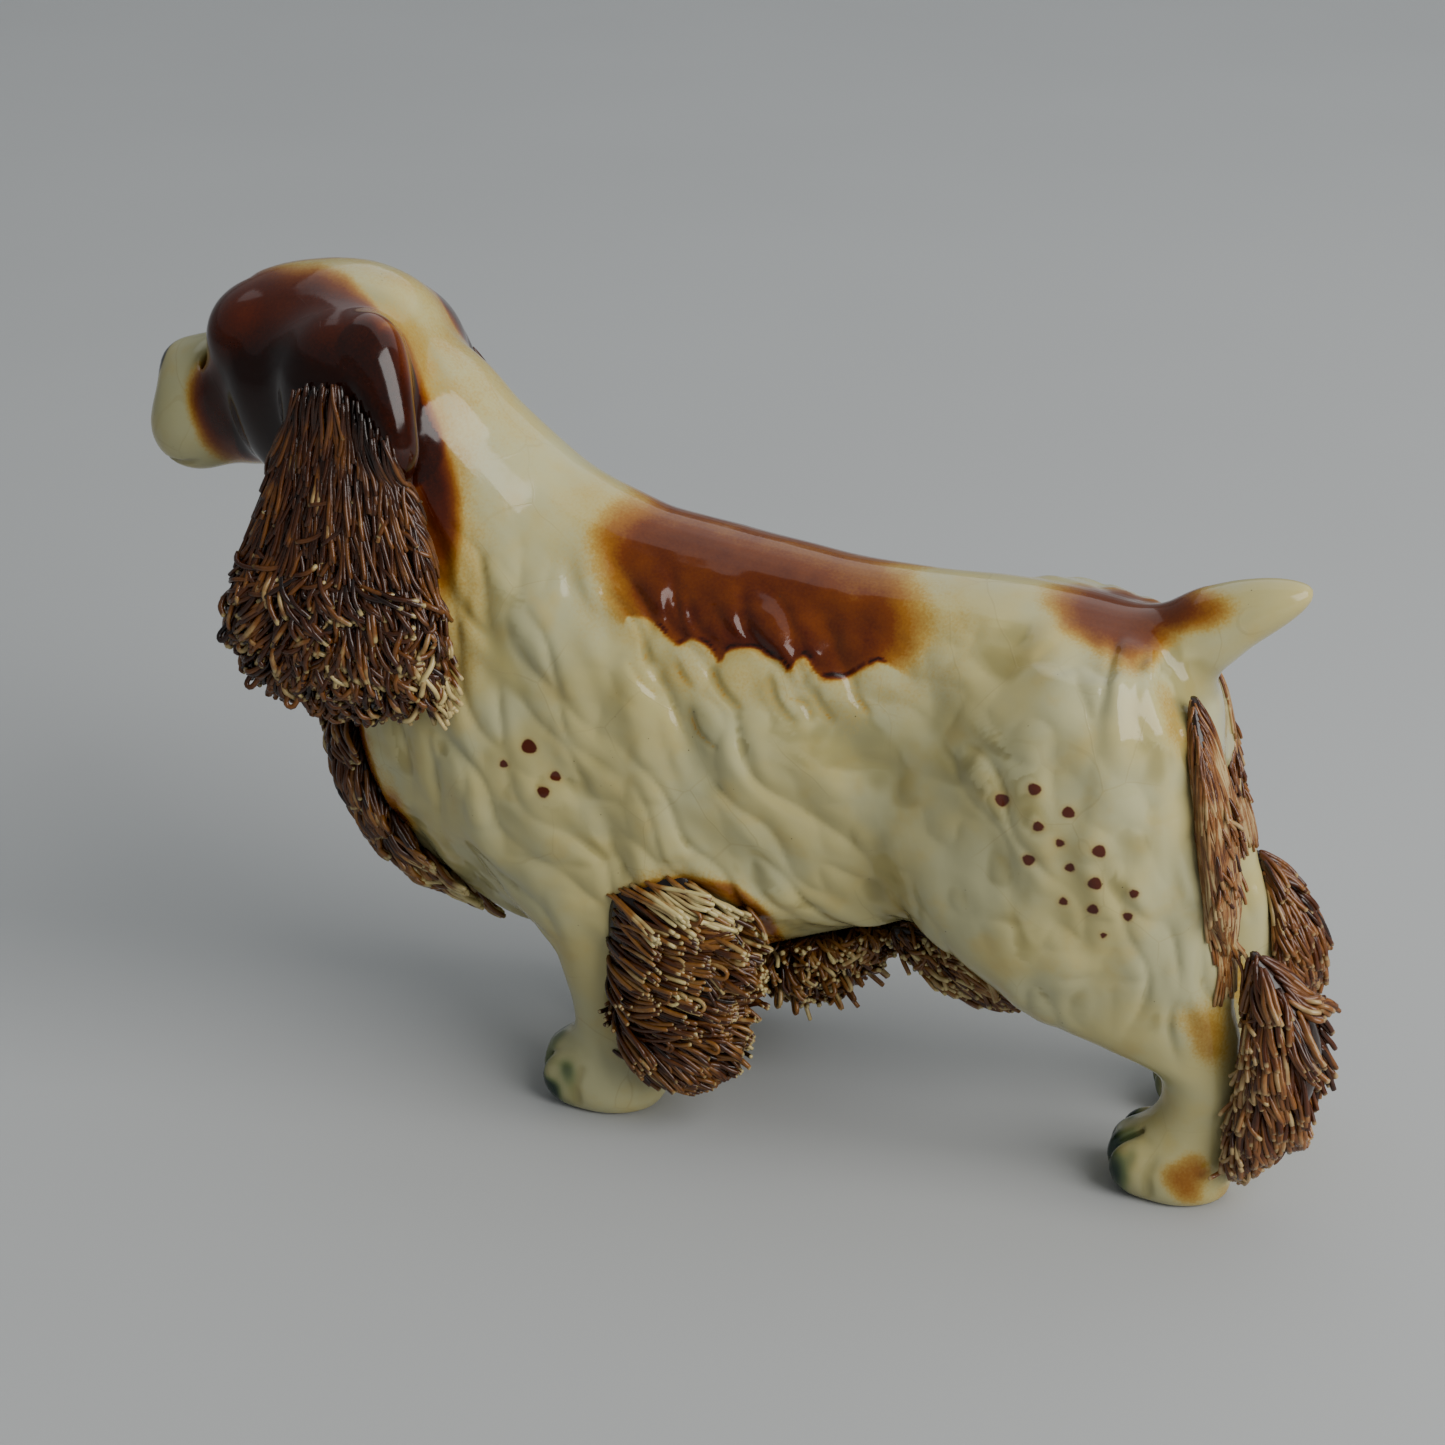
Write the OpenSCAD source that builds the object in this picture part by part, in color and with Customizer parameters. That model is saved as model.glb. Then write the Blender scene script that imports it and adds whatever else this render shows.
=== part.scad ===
// Glazed ceramic spaniel with an applied strand fringe, standing square.
// The dog faces -Y, its left side is +X, and the soles stand on Z = 0.
// Castings and applied fringes are separate solids that meet face to face.

/* [Castings] */
// Wall of the slip-cast torso and head shells
wall = 4; // [3.5:0.25:5]
// Diameter of the kiln vent under the belly
vent_d = 6; // [4:0.5:9]
// Distance of each leg's centre line from the middle plane
leg_x = 20; // [19:0.5:21]

/* [Ears] */
// Half thickness of the ear flaps at the root
flap_half = 2.8; // [2.2:0.1:3.4]

/* [Smoothness] */
// Sides of a casting's sections
casting_sides = 28; // [24:2:36]
// Rings between two stations of a casting
casting_steps = 2; // [2:1:3]
// Sides of a fringe's sections
fringe_sides = 24; // [20:2:30]

/* [Hidden] */

// The fringe reaches further back than the nose reaches forward
centre_shift = -6.2;
// The right ear, breeches and hock fringe were set on a little further forward
right_ear_shift = -6;
right_rear_shift = -7;
// The right hind leg leans by this much back per millimetre below the knee
right_hind_lean = 0.07;
knee_z = 68;
shank_top = 50;
ear_x = 31;
fringe_steps = 2;
limb_sides = 22;
hollow_sides = 18;
hollow_steps = 1;
vent_y = 36;
vent_depth = 30;
vent_facets = 48;
collar_back = [-60, 183];
collar_tilt = 39;
collar_size = 160;
glaze_cream = [0.87, 0.85, 0.70];
glaze_brown = [0.38, 0.17, 0.06];
strand_brown = [0.45, 0.26, 0.12];
strand_tan = [0.62, 0.44, 0.24];

// A station is [x, y, z, half width along X, half depth, tilt of the depth axis].
// Tilt 0 is a level section and tilt 90 is an upright one that faces along Y.
TORSO = [
  [0, -94, 96, 3, 5, 90], [0, -92.5, 96, 10, 15, 90], [0, -88, 96, 18, 25, 90],
  [0, -80, 96, 26, 36, 90], [0, -68, 97, 32, 47, 90], [0, -52, 98, 36, 56.5, 90],
  [0, -32, 97.5, 37.5, 59.5, 90], [0, -10, 95.5, 37.5, 58, 90], [0, 12, 96, 36.5, 54, 90],
  [0, 32, 98, 34.5, 49, 90], [0, 50, 100.5, 32.5, 45.5, 90], [0, 70, 102.5, 32.5, 43.5, 90],
  [0, 88, 103, 33, 41.5, 90], [0, 102, 104, 31, 38, 90], [0, 112, 105, 27, 32.5, 90],
  [0, 119, 106, 21, 24, 90], [0, 123, 106.5, 13, 15, 90], [0, 124.5, 107, 4, 5, 90]
];
NECK = [
  [0, -94, 184, 18, 17, 40], [0, -91, 178, 24, 24, 40], [0, -85, 168, 26.5, 29, 39],
  [0, -77.5, 154, 28.5, 33.5, 41], [0, -69.5, 139.5, 31, 39.5, 43], [0, -63, 128, 33, 44.5, 44],
  [0, -57, 118, 34, 48, 44], [0, -50, 105, 32, 48, 44]
];
SKULL = [
  [0, -129, 190.5, 4, 3, 90], [0, -128, 190.5, 10, 8.5, 90], [0, -125, 189, 16.5, 14, 90],
  [0, -118.5, 186, 21.5, 20.5, 90], [0, -110, 183.5, 24.5, 25.5, 90], [0, -100, 183, 25.5, 27.5, 90],
  [0, -90, 183, 25.5, 27, 90], [0, -81, 183, 23.5, 23.5, 90], [0, -75, 182, 19, 17.5, 90],
  [0, -71, 182, 9, 8, 90]
];
MUZZLE = [
  [0, -147, 171.5, 4, 4, 90], [0, -145.8, 171.5, 9, 10, 90], [0, -142.6, 172, 13.2, 14, 90],
  [0, -136.6, 172.8, 15.8, 15.8, 90], [0, -130, 172.8, 17, 16, 90], [0, -121, 172.5, 18.5, 15.5, 90],
  [0, -108, 174, 20, 15, 90]
];
TAIL = [
  [0, 98, 125, 12, 13, 86], [0, 112, 133, 12, 14.5, 85], [0, 119, 138, 10.5, 12.5, 84],
  [0, 125.7, 141.8, 9, 10.8, 83], [0, 132, 145.5, 7.5, 8.2, 80], [0, 137.7, 148, 5.4, 5.6, 78],
  [0, 141.2, 149.5, 3.2, 3.2, 76], [0, 142.6, 150, 1, 1, 76]
];
FORE_LEG = [
  [1, -40, 102, 9, 18, 0], [3, -36, 88, 13, 24, 0], [3.5, -29, 72, 14, 24, 0],
  [3, -25, 58, 13, 19.5, 0], [2, -23.5, 48, 11.8, 14.8, 0], [1.5, -23.5, 38, 10.8, 12.2, 0],
  [1, -22.8, 28, 10, 10.4, 0], [1, -22.5, 20.5, 10, 10.8, 0], [1, -24.5, 15, 11, 15, 0],
  [1, -24.5, 9.5, 12, 16.2, 0], [1, -24.5, 4.5, 12, 15.8, 0], [1, -24.5, 1.3, 10.8, 14, 0],
  [1, -24.5, 0, 9, 12, 0]
];
HIND_LEG = [
  [2, 95, 134, 8, 12, 0], [3.5, 93, 124, 13.5, 24, 0], [4, 90.5, 108, 16, 32.5, 0],
  [4, 90, 92, 16.5, 36, 0], [4, 91.5, 77, 15.8, 38, 0], [3.5, 95, 65, 14.4, 38, 0],
  [2.5, 101.2, 55, 12.6, 33.7, 0], [1.8, 108.5, 46.5, 11.2, 28.2, 0], [1, 117.5, 40, 10.2, 19.2, 0],
  [1, 126, 34, 9.4, 11, 0], [1, 127.8, 27, 9.2, 9.4, 0], [1, 126.5, 20, 9.6, 11, 0],
  [1, 122.5, 13.5, 11.2, 15, 0], [1, 121.8, 8, 12, 15.4, 0], [1, 122, 3.5, 11.8, 14.6, 0],
  [1, 122.5, 1, 10.6, 13.4, 0], [1, 122.5, 0, 9, 11.8, 0]
];
EAR = [
  [-9, -89, 194, 0.7 * flap_half, 6, 0], [-6, -88, 189, flap_half, 9.5, 0],
  [-2.5, -86.5, 181, flap_half, 13, 0], [0.5, -85, 168, 0.93 * flap_half, 17, 0],
  [2, -84, 150, 0.86 * flap_half, 20.5, 0], [3, -85, 132, 0.79 * flap_half, 20.5, 0],
  [3, -86, 120, 0.64 * flap_half, 15, 0]
];
EAR_UPPER = [
  [0, -87, 187, 2, 8, 0], [2, -86, 179, 3, 13.5, 0], [5, -84, 166, 4.2, 19, 0],
  [7.5, -84, 152, 5.4, 23.5, 0], [9, -85, 141, 5.4, 25, 0], [9, -85, 134, 3.6, 22, 0]
];
EAR_LOWER = [
  [8, -85, 152, 4, 22, 0], [9.5, -85.5, 142, 6.5, 26.5, 0], [10.5, -85.5, 132, 8, 28.5, 0],
  [10.5, -84, 122, 8.2, 26.5, 0], [10, -82, 115, 7, 22, 0], [9.5, -81, 110, 4, 16, 0]
];
CHEST_FRINGE = [
  [0, -88, 113, 10, 6, 0], [0, -91.5, 102, 17, 10.5, 0], [0, -91.5, 90, 21, 14.5, 0],
  [0, -86.5, 76, 22.5, 15, 0], [0, -80, 64, 21.5, 14.5, 0], [0, -74.5, 55, 18, 12, 0],
  [0, -70.5, 49, 12, 8.5, 0], [0, -68.5, 46, 6, 5, 0]
];
BELLY_FRINGE = [
  [0, 4, 42, 6, 5, 90], [0, 12, 40, 12, 9, 90], [0, 23, 38.5, 15, 13, 90],
  [0, 34, 43, 14, 11.5, 90], [0, 44, 50, 11, 8, 90], [0, 51, 54, 5, 4.5, 90]
];
FORE_FRINGE = [
  [13, -4, 77, 3, 7, 0], [14.5, -5, 70, 5.5, 14, 0], [13.5, -4, 60, 8.5, 18, 0],
  [12.5, -2, 50, 10, 20, 0], [12.5, -2.5, 39, 10.5, 18.5, 0], [12.5, -2.5, 28, 10, 17, 0],
  [12.5, -2, 19, 8.5, 14, 0], [12.5, -1, 13, 5, 9, 0]
];
FLANK_FRINGE = [
  [-7, 47, 56, 3, 4, 90], [-7, 56, 51.5, 5, 8, 90], [-7, 66, 48, 6, 9.5, 90],
  [-6, 75, 45, 5, 8, 90], [-5, 81, 42, 2.5, 4, 90]
];
THIGH_FRINGE = [
  [0, 119, 132, 4, 3, 0], [1, 121.5, 124, 8, 5, 0], [1.5, 124.5, 112, 11, 6, 0],
  [2, 127, 100, 12.5, 6.5, 0], [3, 128.5, 90, 12, 6.5, 0], [5, 130.5, 80, 10.5, 6, 0],
  [6.5, 132.5, 71, 8, 5.5, 0]
];
HOCK_FRINGE = [
  [7, 138, 72, 4, 3.5, 0], [7, 143, 64, 7, 7, 0], [7, 147, 54, 9, 10, 0],
  [7, 148, 44, 10, 11, 0], [7, 146.5, 33, 10.5, 10.5, 0], [7, 143.5, 22, 10, 9, 0],
  [7, 140.5, 14.5, 8, 6, 0], [7, 139, 10, 5, 3.5, 0]
];

// Smooth value through b and c at t
function between(a, b, c, d, t) =
  0.5 * (2 * b + (c - a) * t + (2 * a - 5 * b + 4 * c - d) * t * t
    + (3 * b - a - 3 * c + d) * t * t * t);

// Stations with steps - 1 more laid smoothly between each two
function smooth(s, steps) = let (n = len(s)) concat(
  [for (i = [0:n - 2], k = [0:steps - 1])
    between(s[max(i - 1, 0)], s[i], s[i + 1], s[min(i + 2, n - 1)], k / steps)],
  [s[n - 1]]);

// One closed ring of points around a station
function ring(s, sides) = [for (i = [0:sides - 1]) let (a = 360 * i / sides)
  [s[0] + s[3] * cos(a), s[1] + s[4] * sin(a) * cos(s[5]), s[2] + s[4] * sin(a) * sin(s[5])]];

// The same stations leaning back below the knee and forward above it
function leaning(s, k) = [for (p = s) [p[0], p[1] + k * (knee_z - p[2]), p[2], p[3], p[4], p[5]]];

// The hollow part of a hind leg, above the solid shank
function thigh(s) = [for (p = s) if (p[2] > shank_top) p];

// The same stations, thinner by t all round and shorter by one station at each end
function hollowed(s, t) = [for (i = [1:len(s) - 2]) if (min(s[i][3], s[i][4]) > 2.5 * t)
  [s[i][0], s[i][1], s[i][2], s[i][3] - t, s[i][4] - t, s[i][5]]];

// Closed solid through the stations, which run downwards or backwards
module loft(stations, sides = casting_sides, steps = casting_steps) {
  s = smooth(stations, steps);
  n = len(s);
  points = [for (p = s) each ring(p, sides)];
  faces = concat(
    [[for (i = [0:sides - 1]) sides - 1 - i]],
    [[for (i = [0:sides - 1]) (n - 1) * sides + i]],
    [for (j = [0:n - 2], i = [0:sides - 1]) let (k = (i + 1) % sides)
      [j * sides + i, (j + 1) * sides + k, (j + 1) * sides + i]],
    [for (j = [0:n - 2], i = [0:sides - 1]) let (k = (i + 1) % sides)
      [j * sides + i, j * sides + k, (j + 1) * sides + k]]);
  polyhedron(points, faces, convexity = 6);
}

module hollow(stations) {
  loft(hollowed(stations, wall), hollow_sides, hollow_steps);
}

module fringe(stations) {
  loft(stations, fringe_sides, fringe_steps);
}

// Moves the finished dog to the middle of its own footprint
module place() {
  translate([0, centre_shift, 0]) children();
}

// side is 1 for the dog's left and -1 for its right
module on_side(side, x = leg_x, right_shift = 0) {
  translate([0, side < 0 ? right_shift : 0, 0]) mirror([side < 0 ? 1 : 0, 0, 0])
    translate([x, 0, 0]) children();
}

module on_ear(side) {
  on_side(side, ear_x, right_ear_shift) children();
}

module on_rear(side) {
  on_side(side, leg_x, right_rear_shift) children();
}

// Everything above the seam where the head is luted to the neck
module above_collar() {
  translate([0, collar_back[0], collar_back[1]]) rotate([collar_tilt, 0, 0])
    translate([-collar_size / 2, -collar_size, 0]) cube([collar_size, collar_size * 1.5, collar_size]);
}

module body_form() {
  loft(TORSO);
  difference() {
    loft(NECK);
    above_collar();
  }
}

module head_form() {
  loft(SKULL);
  loft(MUZZLE, limb_sides);
  intersection() {
    loft(NECK);
    above_collar();
  }
}

module fore_leg_form(side) {
  on_side(side) loft(FORE_LEG, limb_sides);
}

module hind_leg_form(side) {
  on_side(side) loft(leaning(HIND_LEG, side < 0 ? right_hind_lean : 0), limb_sides);
}

module ear_form(side) {
  on_ear(side) loft(EAR, limb_sides);
}

module torso() {
  color(glaze_cream) place() difference() {
    body_form();
    hollow(TORSO);
    hollow(NECK);
    translate([0, vent_y, 40]) cylinder(h = vent_depth, d = vent_d, $fn = vent_facets);
  }
}

module head() {
  color(glaze_brown) place() difference() {
    head_form();
    body_form();
    hollow(SKULL);
    hollow(MUZZLE);
    hollow(NECK);
  }
}

module tail() {
  color(glaze_cream) place() difference() {
    loft(TAIL, limb_sides);
    body_form();
  }
}

module ear(side) {
  color(glaze_brown) place() difference() {
    ear_form(side);
    head_form();
    body_form();
  }
}

module fore_leg(side) {
  color(glaze_cream) place() difference() {
    fore_leg_form(side);
    body_form();
  }
}

module hind_leg(side) {
  color(glaze_cream) place() difference() {
    hind_leg_form(side);
    on_side(side) hollow(thigh(HIND_LEG));
    body_form();
    loft(TAIL, limb_sides);
  }
}

module ear_upper_fringe(side) {
  color(strand_brown) place() difference() {
    on_ear(side) fringe(EAR_UPPER);
    ear_form(side);
    head_form();
    body_form();
  }
}

module ear_lower_fringe(side) {
  color(strand_tan) place() difference() {
    on_ear(side) fringe(EAR_LOWER);
    on_ear(side) fringe(EAR_UPPER);
    ear_form(side);
    head_form();
    body_form();
  }
}

module chest_fringe() {
  color(strand_brown) place() difference() {
    fringe(CHEST_FRINGE);
    body_form();
  }
}

module belly_fringe() {
  color(strand_brown) place() difference() {
    fringe(BELLY_FRINGE);
    body_form();
    fore_leg_form(1);
    fore_leg_form(-1);
  }
}

module fore_leg_fringe(side) {
  color(strand_tan) place() difference() {
    on_side(side) fringe(FORE_FRINGE);
    fore_leg_form(side);
    body_form();
  }
}

module flank_fringe(side) {
  color(strand_brown) place() difference() {
    on_side(side) fringe(FLANK_FRINGE);
    hind_leg_form(side);
    fringe(BELLY_FRINGE);
    body_form();
  }
}

module thigh_fringe(side) {
  color(strand_tan) place() difference() {
    on_rear(side) fringe(THIGH_FRINGE);
    hind_leg_form(side);
    loft(TAIL, limb_sides);
    body_form();
  }
}

module hock_fringe(side) {
  color(strand_brown) place() difference() {
    on_rear(side) fringe(HOCK_FRINGE);
    on_rear(side) fringe(THIGH_FRINGE);
    hind_leg_form(side);
  }
}

torso();
head();
tail();
ear(1);  // left_ear
ear(-1);  // right_ear
fore_leg(1);  // left_fore_leg
fore_leg(-1);  // right_fore_leg
hind_leg(1);  // left_hind_leg
hind_leg(-1);  // right_hind_leg
ear_upper_fringe(1);  // left_ear_upper_fringe
ear_upper_fringe(-1);  // right_ear_upper_fringe
ear_lower_fringe(1);  // left_ear_lower_fringe
ear_lower_fringe(-1);  // right_ear_lower_fringe
chest_fringe();
belly_fringe();
fore_leg_fringe(1);  // left_fore_leg_fringe
fore_leg_fringe(-1);  // right_fore_leg_fringe
flank_fringe(1);  // left_flank_fringe
flank_fringe(-1);  // right_flank_fringe
thigh_fringe(1);  // left_thigh_fringe
thigh_fringe(-1);  // right_thigh_fringe
hock_fringe(1);  // left_hock_fringe
hock_fringe(-1);  // right_hock_fringe
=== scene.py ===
import math

import bpy
import numpy as np
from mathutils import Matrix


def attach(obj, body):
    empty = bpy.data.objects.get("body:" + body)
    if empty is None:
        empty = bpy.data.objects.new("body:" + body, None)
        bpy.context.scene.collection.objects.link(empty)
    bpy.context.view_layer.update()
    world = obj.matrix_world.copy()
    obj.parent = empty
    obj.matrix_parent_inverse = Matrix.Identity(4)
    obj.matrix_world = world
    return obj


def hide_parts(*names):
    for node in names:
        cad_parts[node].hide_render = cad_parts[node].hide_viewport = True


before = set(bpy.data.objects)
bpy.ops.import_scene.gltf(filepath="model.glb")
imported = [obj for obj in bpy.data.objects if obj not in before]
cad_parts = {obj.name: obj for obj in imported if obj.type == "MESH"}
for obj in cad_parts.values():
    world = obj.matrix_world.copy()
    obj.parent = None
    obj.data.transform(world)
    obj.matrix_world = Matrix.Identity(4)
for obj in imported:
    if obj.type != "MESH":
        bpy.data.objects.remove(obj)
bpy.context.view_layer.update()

import openvdb
from mathutils import Vector

# ---------------------------------------------------------------- driving values, millimetres

CENTRE_SHIFT = -6.2        # moves the dog to the middle of its own footprint
RIGHT_EAR_SHIFT = -6.0     # the right ear was set on a little further forward
RIGHT_REAR_SHIFT = -7.0    # so were its breeches and hock fringe
RIGHT_HIND_LEAN = 0.07     # the right hind leg leans back below the knee
KNEE_Z = 68.0
LEG_X = 20.0
EAR_X = 31.0

VENT_D = 6.0
VENT_Y = 36.0

VOXEL = 0.8
LOW_CELL = np.array([-73, -196, -5])
CELLS = (147, 386, 276)
BAND = 18.0                # half width of each form's distance field, in voxels
FAR = 30.0                 # distance that stands for "nowhere near"

# A station is [x, y, z, half width along X, half depth, tilt of the depth axis],
# the same as in the part's own source.
TORSO = [
    [0, -94, 96, 3, 5, 90], [0, -92.5, 96, 10, 15, 90], [0, -88, 96, 18, 25, 90],
    [0, -80, 96, 26, 36, 90], [0, -68, 97, 32, 47, 90], [0, -52, 98, 36, 56.5, 90],
    [0, -32, 97.5, 37.5, 59.5, 90], [0, -10, 95.5, 37.5, 58, 90], [0, 12, 96, 36.5, 54, 90],
    [0, 32, 98, 34.5, 49, 90], [0, 50, 100.5, 32.5, 45.5, 90], [0, 70, 102.5, 32.5, 43.5, 90],
    [0, 88, 103, 33, 41.5, 90], [0, 102, 104, 31, 38, 90], [0, 112, 105, 27, 32.5, 90],
    [0, 119, 106, 21, 24, 90], [0, 123, 106.5, 13, 15, 90], [0, 124.5, 107, 4, 5, 90],
]
NECK = [
    [0, -94, 184, 18, 17, 40], [0, -91, 178, 24, 24, 40], [0, -85, 168, 26.5, 29, 39],
    [0, -77.5, 154, 28.5, 33.5, 41], [0, -69.5, 139.5, 31, 39.5, 43],
    [0, -63, 128, 33, 44.5, 44], [0, -57, 118, 34, 48, 44], [0, -50, 105, 32, 48, 44],
]
SKULL = [
    [0, -129, 190.5, 4, 3, 90], [0, -128, 190.5, 10, 8.5, 90], [0, -125, 189, 16.5, 14, 90],
    [0, -118.5, 186, 21.5, 20.5, 90], [0, -110, 183.5, 24.5, 25.5, 90],
    [0, -100, 183, 25.5, 27.5, 90], [0, -90, 183, 25.5, 27, 90], [0, -81, 183, 23.5, 23.5, 90],
    [0, -75, 182, 19, 17.5, 90], [0, -71, 182, 9, 8, 90],
]
MUZZLE = [
    [0, -147, 171.5, 4, 4, 90], [0, -145.8, 171.5, 9, 10, 90], [0, -142.6, 172, 13.2, 14, 90],
    [0, -136.6, 172.8, 15.8, 15.8, 90], [0, -130, 172.8, 17, 16, 90],
    [0, -121, 172.5, 18.5, 15.5, 90], [0, -108, 174, 20, 15, 90],
]
TAIL = [
    [0, 98, 125, 12, 13, 86], [0, 112, 133, 12, 14.5, 85], [0, 119, 138, 10.5, 12.5, 84],
    [0, 125.7, 141.8, 9, 10.8, 83], [0, 132, 145.5, 7.5, 8.2, 80],
    [0, 137.7, 148, 5.4, 5.6, 78], [0, 141.2, 149.5, 3.2, 3.2, 76], [0, 142.6, 150, 1, 1, 76],
]
FORE_LEG = [
    [1, -40, 102, 9, 18, 0], [3, -36, 88, 13, 24, 0], [3.5, -29, 72, 14, 24, 0],
    [3, -25, 58, 13, 19.5, 0], [2, -23.5, 48, 11.8, 14.8, 0], [1.5, -23.5, 38, 10.8, 12.2, 0],
    [1, -22.8, 28, 10, 10.4, 0], [1, -22.5, 20.5, 10, 10.8, 0], [1, -24.5, 15, 11, 15, 0],
    [1, -24.5, 9.5, 12, 16.2, 0], [1, -24.5, 4.5, 12, 15.8, 0], [1, -24.5, 1.3, 10.8, 14, 0],
    [1, -24.5, 0, 9, 12, 0],
]
HIND_LEG = [
    [2, 95, 134, 8, 12, 0], [3.5, 93, 124, 13.5, 24, 0], [4, 90.5, 108, 16, 32.5, 0],
    [4, 90, 92, 16.5, 36, 0], [4, 91.5, 77, 15.8, 38, 0], [3.5, 95, 65, 14.4, 38, 0],
    [2.5, 101.2, 55, 12.6, 33.7, 0], [1.8, 108.5, 46.5, 11.2, 28.2, 0],
    [1, 117.5, 40, 10.2, 19.2, 0], [1, 126, 34, 9.4, 11, 0], [1, 127.8, 27, 9.2, 9.4, 0],
    [1, 126.5, 20, 9.6, 11, 0], [1, 122.5, 13.5, 11.2, 15, 0], [1, 121.8, 8, 12, 15.4, 0],
    [1, 122, 3.5, 11.8, 14.6, 0], [1, 122.5, 1, 10.6, 13.4, 0], [1, 122.5, 0, 9, 11.8, 0],
]
FLAP = 2.8
EAR = [
    [-9, -89, 194, 0.7 * FLAP, 6, 0], [-6, -88, 189, FLAP, 9.5, 0], [-2.5, -86.5, 181, FLAP, 13, 0],
    [0.5, -85, 168, 0.93 * FLAP, 17, 0], [2, -84, 150, 0.86 * FLAP, 20.5, 0],
    [3, -85, 132, 0.79 * FLAP, 20.5, 0], [3, -86, 120, 0.64 * FLAP, 15, 0],
]

# The side decoration is laid out on the plane |x| = PAINT_PLANE and carried in to the skin along
# a line that drops and runs forward this much for each millimetre inwards
PAINT_PLANE = 36.0
PAINT_RUN = 0.31
PAINT_DROP = 0.45


# ---------------------------------------------------------------- smooth noise

# The noise lattice is turned away from the axes so that none of its rows show
LATTICE = np.array([[0.75, 0.61, 0.2561], [-0.6093, 0.7885, -0.0935], [-0.2590, -0.0860, 0.9620]])


def hashed(cell, seed):
    """A repeatable number from 0 to 1 for each lattice cell."""
    i, j, k = np.moveaxis(cell, -1, 0)
    h = (i * 374761393 + j * 668265263 + k * 1442695041 + seed * 974634777) & 0xFFFFFFFF
    h = ((h ^ (h >> 13)) * 1274126177) & 0xFFFFFFFF
    return ((h ^ (h >> 16)) & 0xFFFFFF) / float(0xFFFFFF)


def corners(f):
    """The eight corners of a cell, and how much each counts at the place f inside it."""
    for corner in np.ndindex(2, 2, 2):
        x, y, z = (np.abs(1 - c - f[..., axis]) for axis, c in enumerate(corner))
        yield corner, x * y * z


def noise(p, seed=0):
    """Smooth value noise from -1 to 1, one bump per unit."""
    p = p @ LATTICE
    cell = np.floor(p).astype(np.int64)
    f = p - cell
    f = f * f * f * (f * (f * 6 - 15) + 10)
    return sum(w * hashed(cell + corner, seed) for corner, w in corners(f)) * 2 - 1


def scoops(p, seed=0):
    """Distance to the nearest jittered centre: 0 in the middle of a scoop, about 0.7 on a ridge."""
    p = p @ LATTICE
    cell = np.floor(p).astype(np.int64)
    best = np.full(p.shape[:-1], 9.0)
    for step in np.ndindex(3, 3, 3):
        c = cell + step - 1
        centre = c + np.stack([hashed(c, seed + axis) for axis in (1, 2, 3)], -1) * 0.8 + 0.1
        d = np.sqrt(((p - centre) ** 2).sum(-1))
        best = -0.12 * np.logaddexp(-best / 0.12, -d / 0.12)
    return best


def smoothstep(a, b, x):
    t = np.clip((x - a) / (b - a), 0, 1)
    return t * t * (3 - 2 * t)


# ---------------------------------------------------------------- lofts and distance fields

def smooth_stations(stations, steps):
    """Catmull-Rom stations with steps - 1 more between each two."""
    s = np.array(stations, float)
    padded = np.vstack([s[:1], s, s[-1:]])
    rows = []
    for i in range(len(s) - 1):
        a, b, c, d = padded[i:i + 4]
        for t in np.arange(steps) / steps:
            rows.append(0.5 * (2 * b + (c - a) * t + (2 * a - 5 * b + 4 * c - d) * t * t
                               + (3 * b - a - 3 * c + d) * t ** 3))
    rows.append(s[-1])
    return np.array(rows)


def tube_faces(rows, sides):
    """Triangles of a tube of rings, closed by one more point past each of its ends."""
    i, j = np.meshgrid(np.arange(sides), np.arange(rows - 1))
    k = (i + 1) % sides
    low, high = j * sides, (j + 1) * sides
    first, last = np.full(sides, rows * sides), np.full(sides, rows * sides + 1)
    groups = [(low + i, high + k, high + i), (low + i, low + k, high + k),
              (first, k[0], i[0]), (last, high[-1] + i[0], high[-1] + k[0])]
    return np.vstack([np.stack(group, -1).reshape(-1, 3) for group in groups])


def loft(stations, sides=72, steps=8):
    """Points and triangles of the closed solid through the stations."""
    s = smooth_stations(stations, steps)
    a = np.arange(sides) * 2 * math.pi / sides
    tilt = np.radians(s[:, 5])[:, None]
    depth = s[:, 4:5] * np.sin(a)
    rings = np.stack([s[:, 0:1] + s[:, 3:4] * np.cos(a), s[:, 1:2] + depth * np.cos(tilt),
                      s[:, 2:3] + depth * np.sin(tilt)], -1)
    return np.vstack([rings.reshape(-1, 3), s[[0, -1], :3]]), tube_faces(len(s), sides)


def placed(stations, x=0.0, side=1, right_shift=0.0, lean=0.0):
    """Stations moved to one side of the dog, mirrored for its right."""
    out = []
    for sx, sy, sz, a, b, tilt in stations:
        y = sy + (right_shift if side < 0 else 0.0) + (lean * (KNEE_Z - sz) if side < 0 else 0.0)
        out.append([side * (x + sx), y, sz, a, b, tilt])
    return out


def box_of(lo, hi, margin):
    """The block of cells that holds lo to hi with a margin, as slices."""
    first = np.floor((np.array(lo) - margin) / VOXEL).astype(int) - LOW_CELL
    last = np.ceil((np.array(hi) + margin) / VOXEL).astype(int) - LOW_CELL + 1
    return tuple(slice(int(max(a, 0)), int(min(b, n))) for a, b, n in zip(first, last, CELLS))


def cell_points(block):
    """The place of every cell of a block."""
    axes = [(np.arange(s.start, s.stop) + o) * VOXEL for s, o in zip(block, LOW_CELL)]
    return np.stack(np.meshgrid(*axes, indexing="ij"), -1)


def unit(v):
    return v / np.maximum(np.linalg.norm(v, axis=-1, keepdims=True), 1e-9)


def smooth_min(a, b, k):
    h = np.clip(0.5 + 0.5 * (b - a) / k, 0, 1)
    return b * (1 - h) + a * h - k * h * (1 - h)


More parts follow.
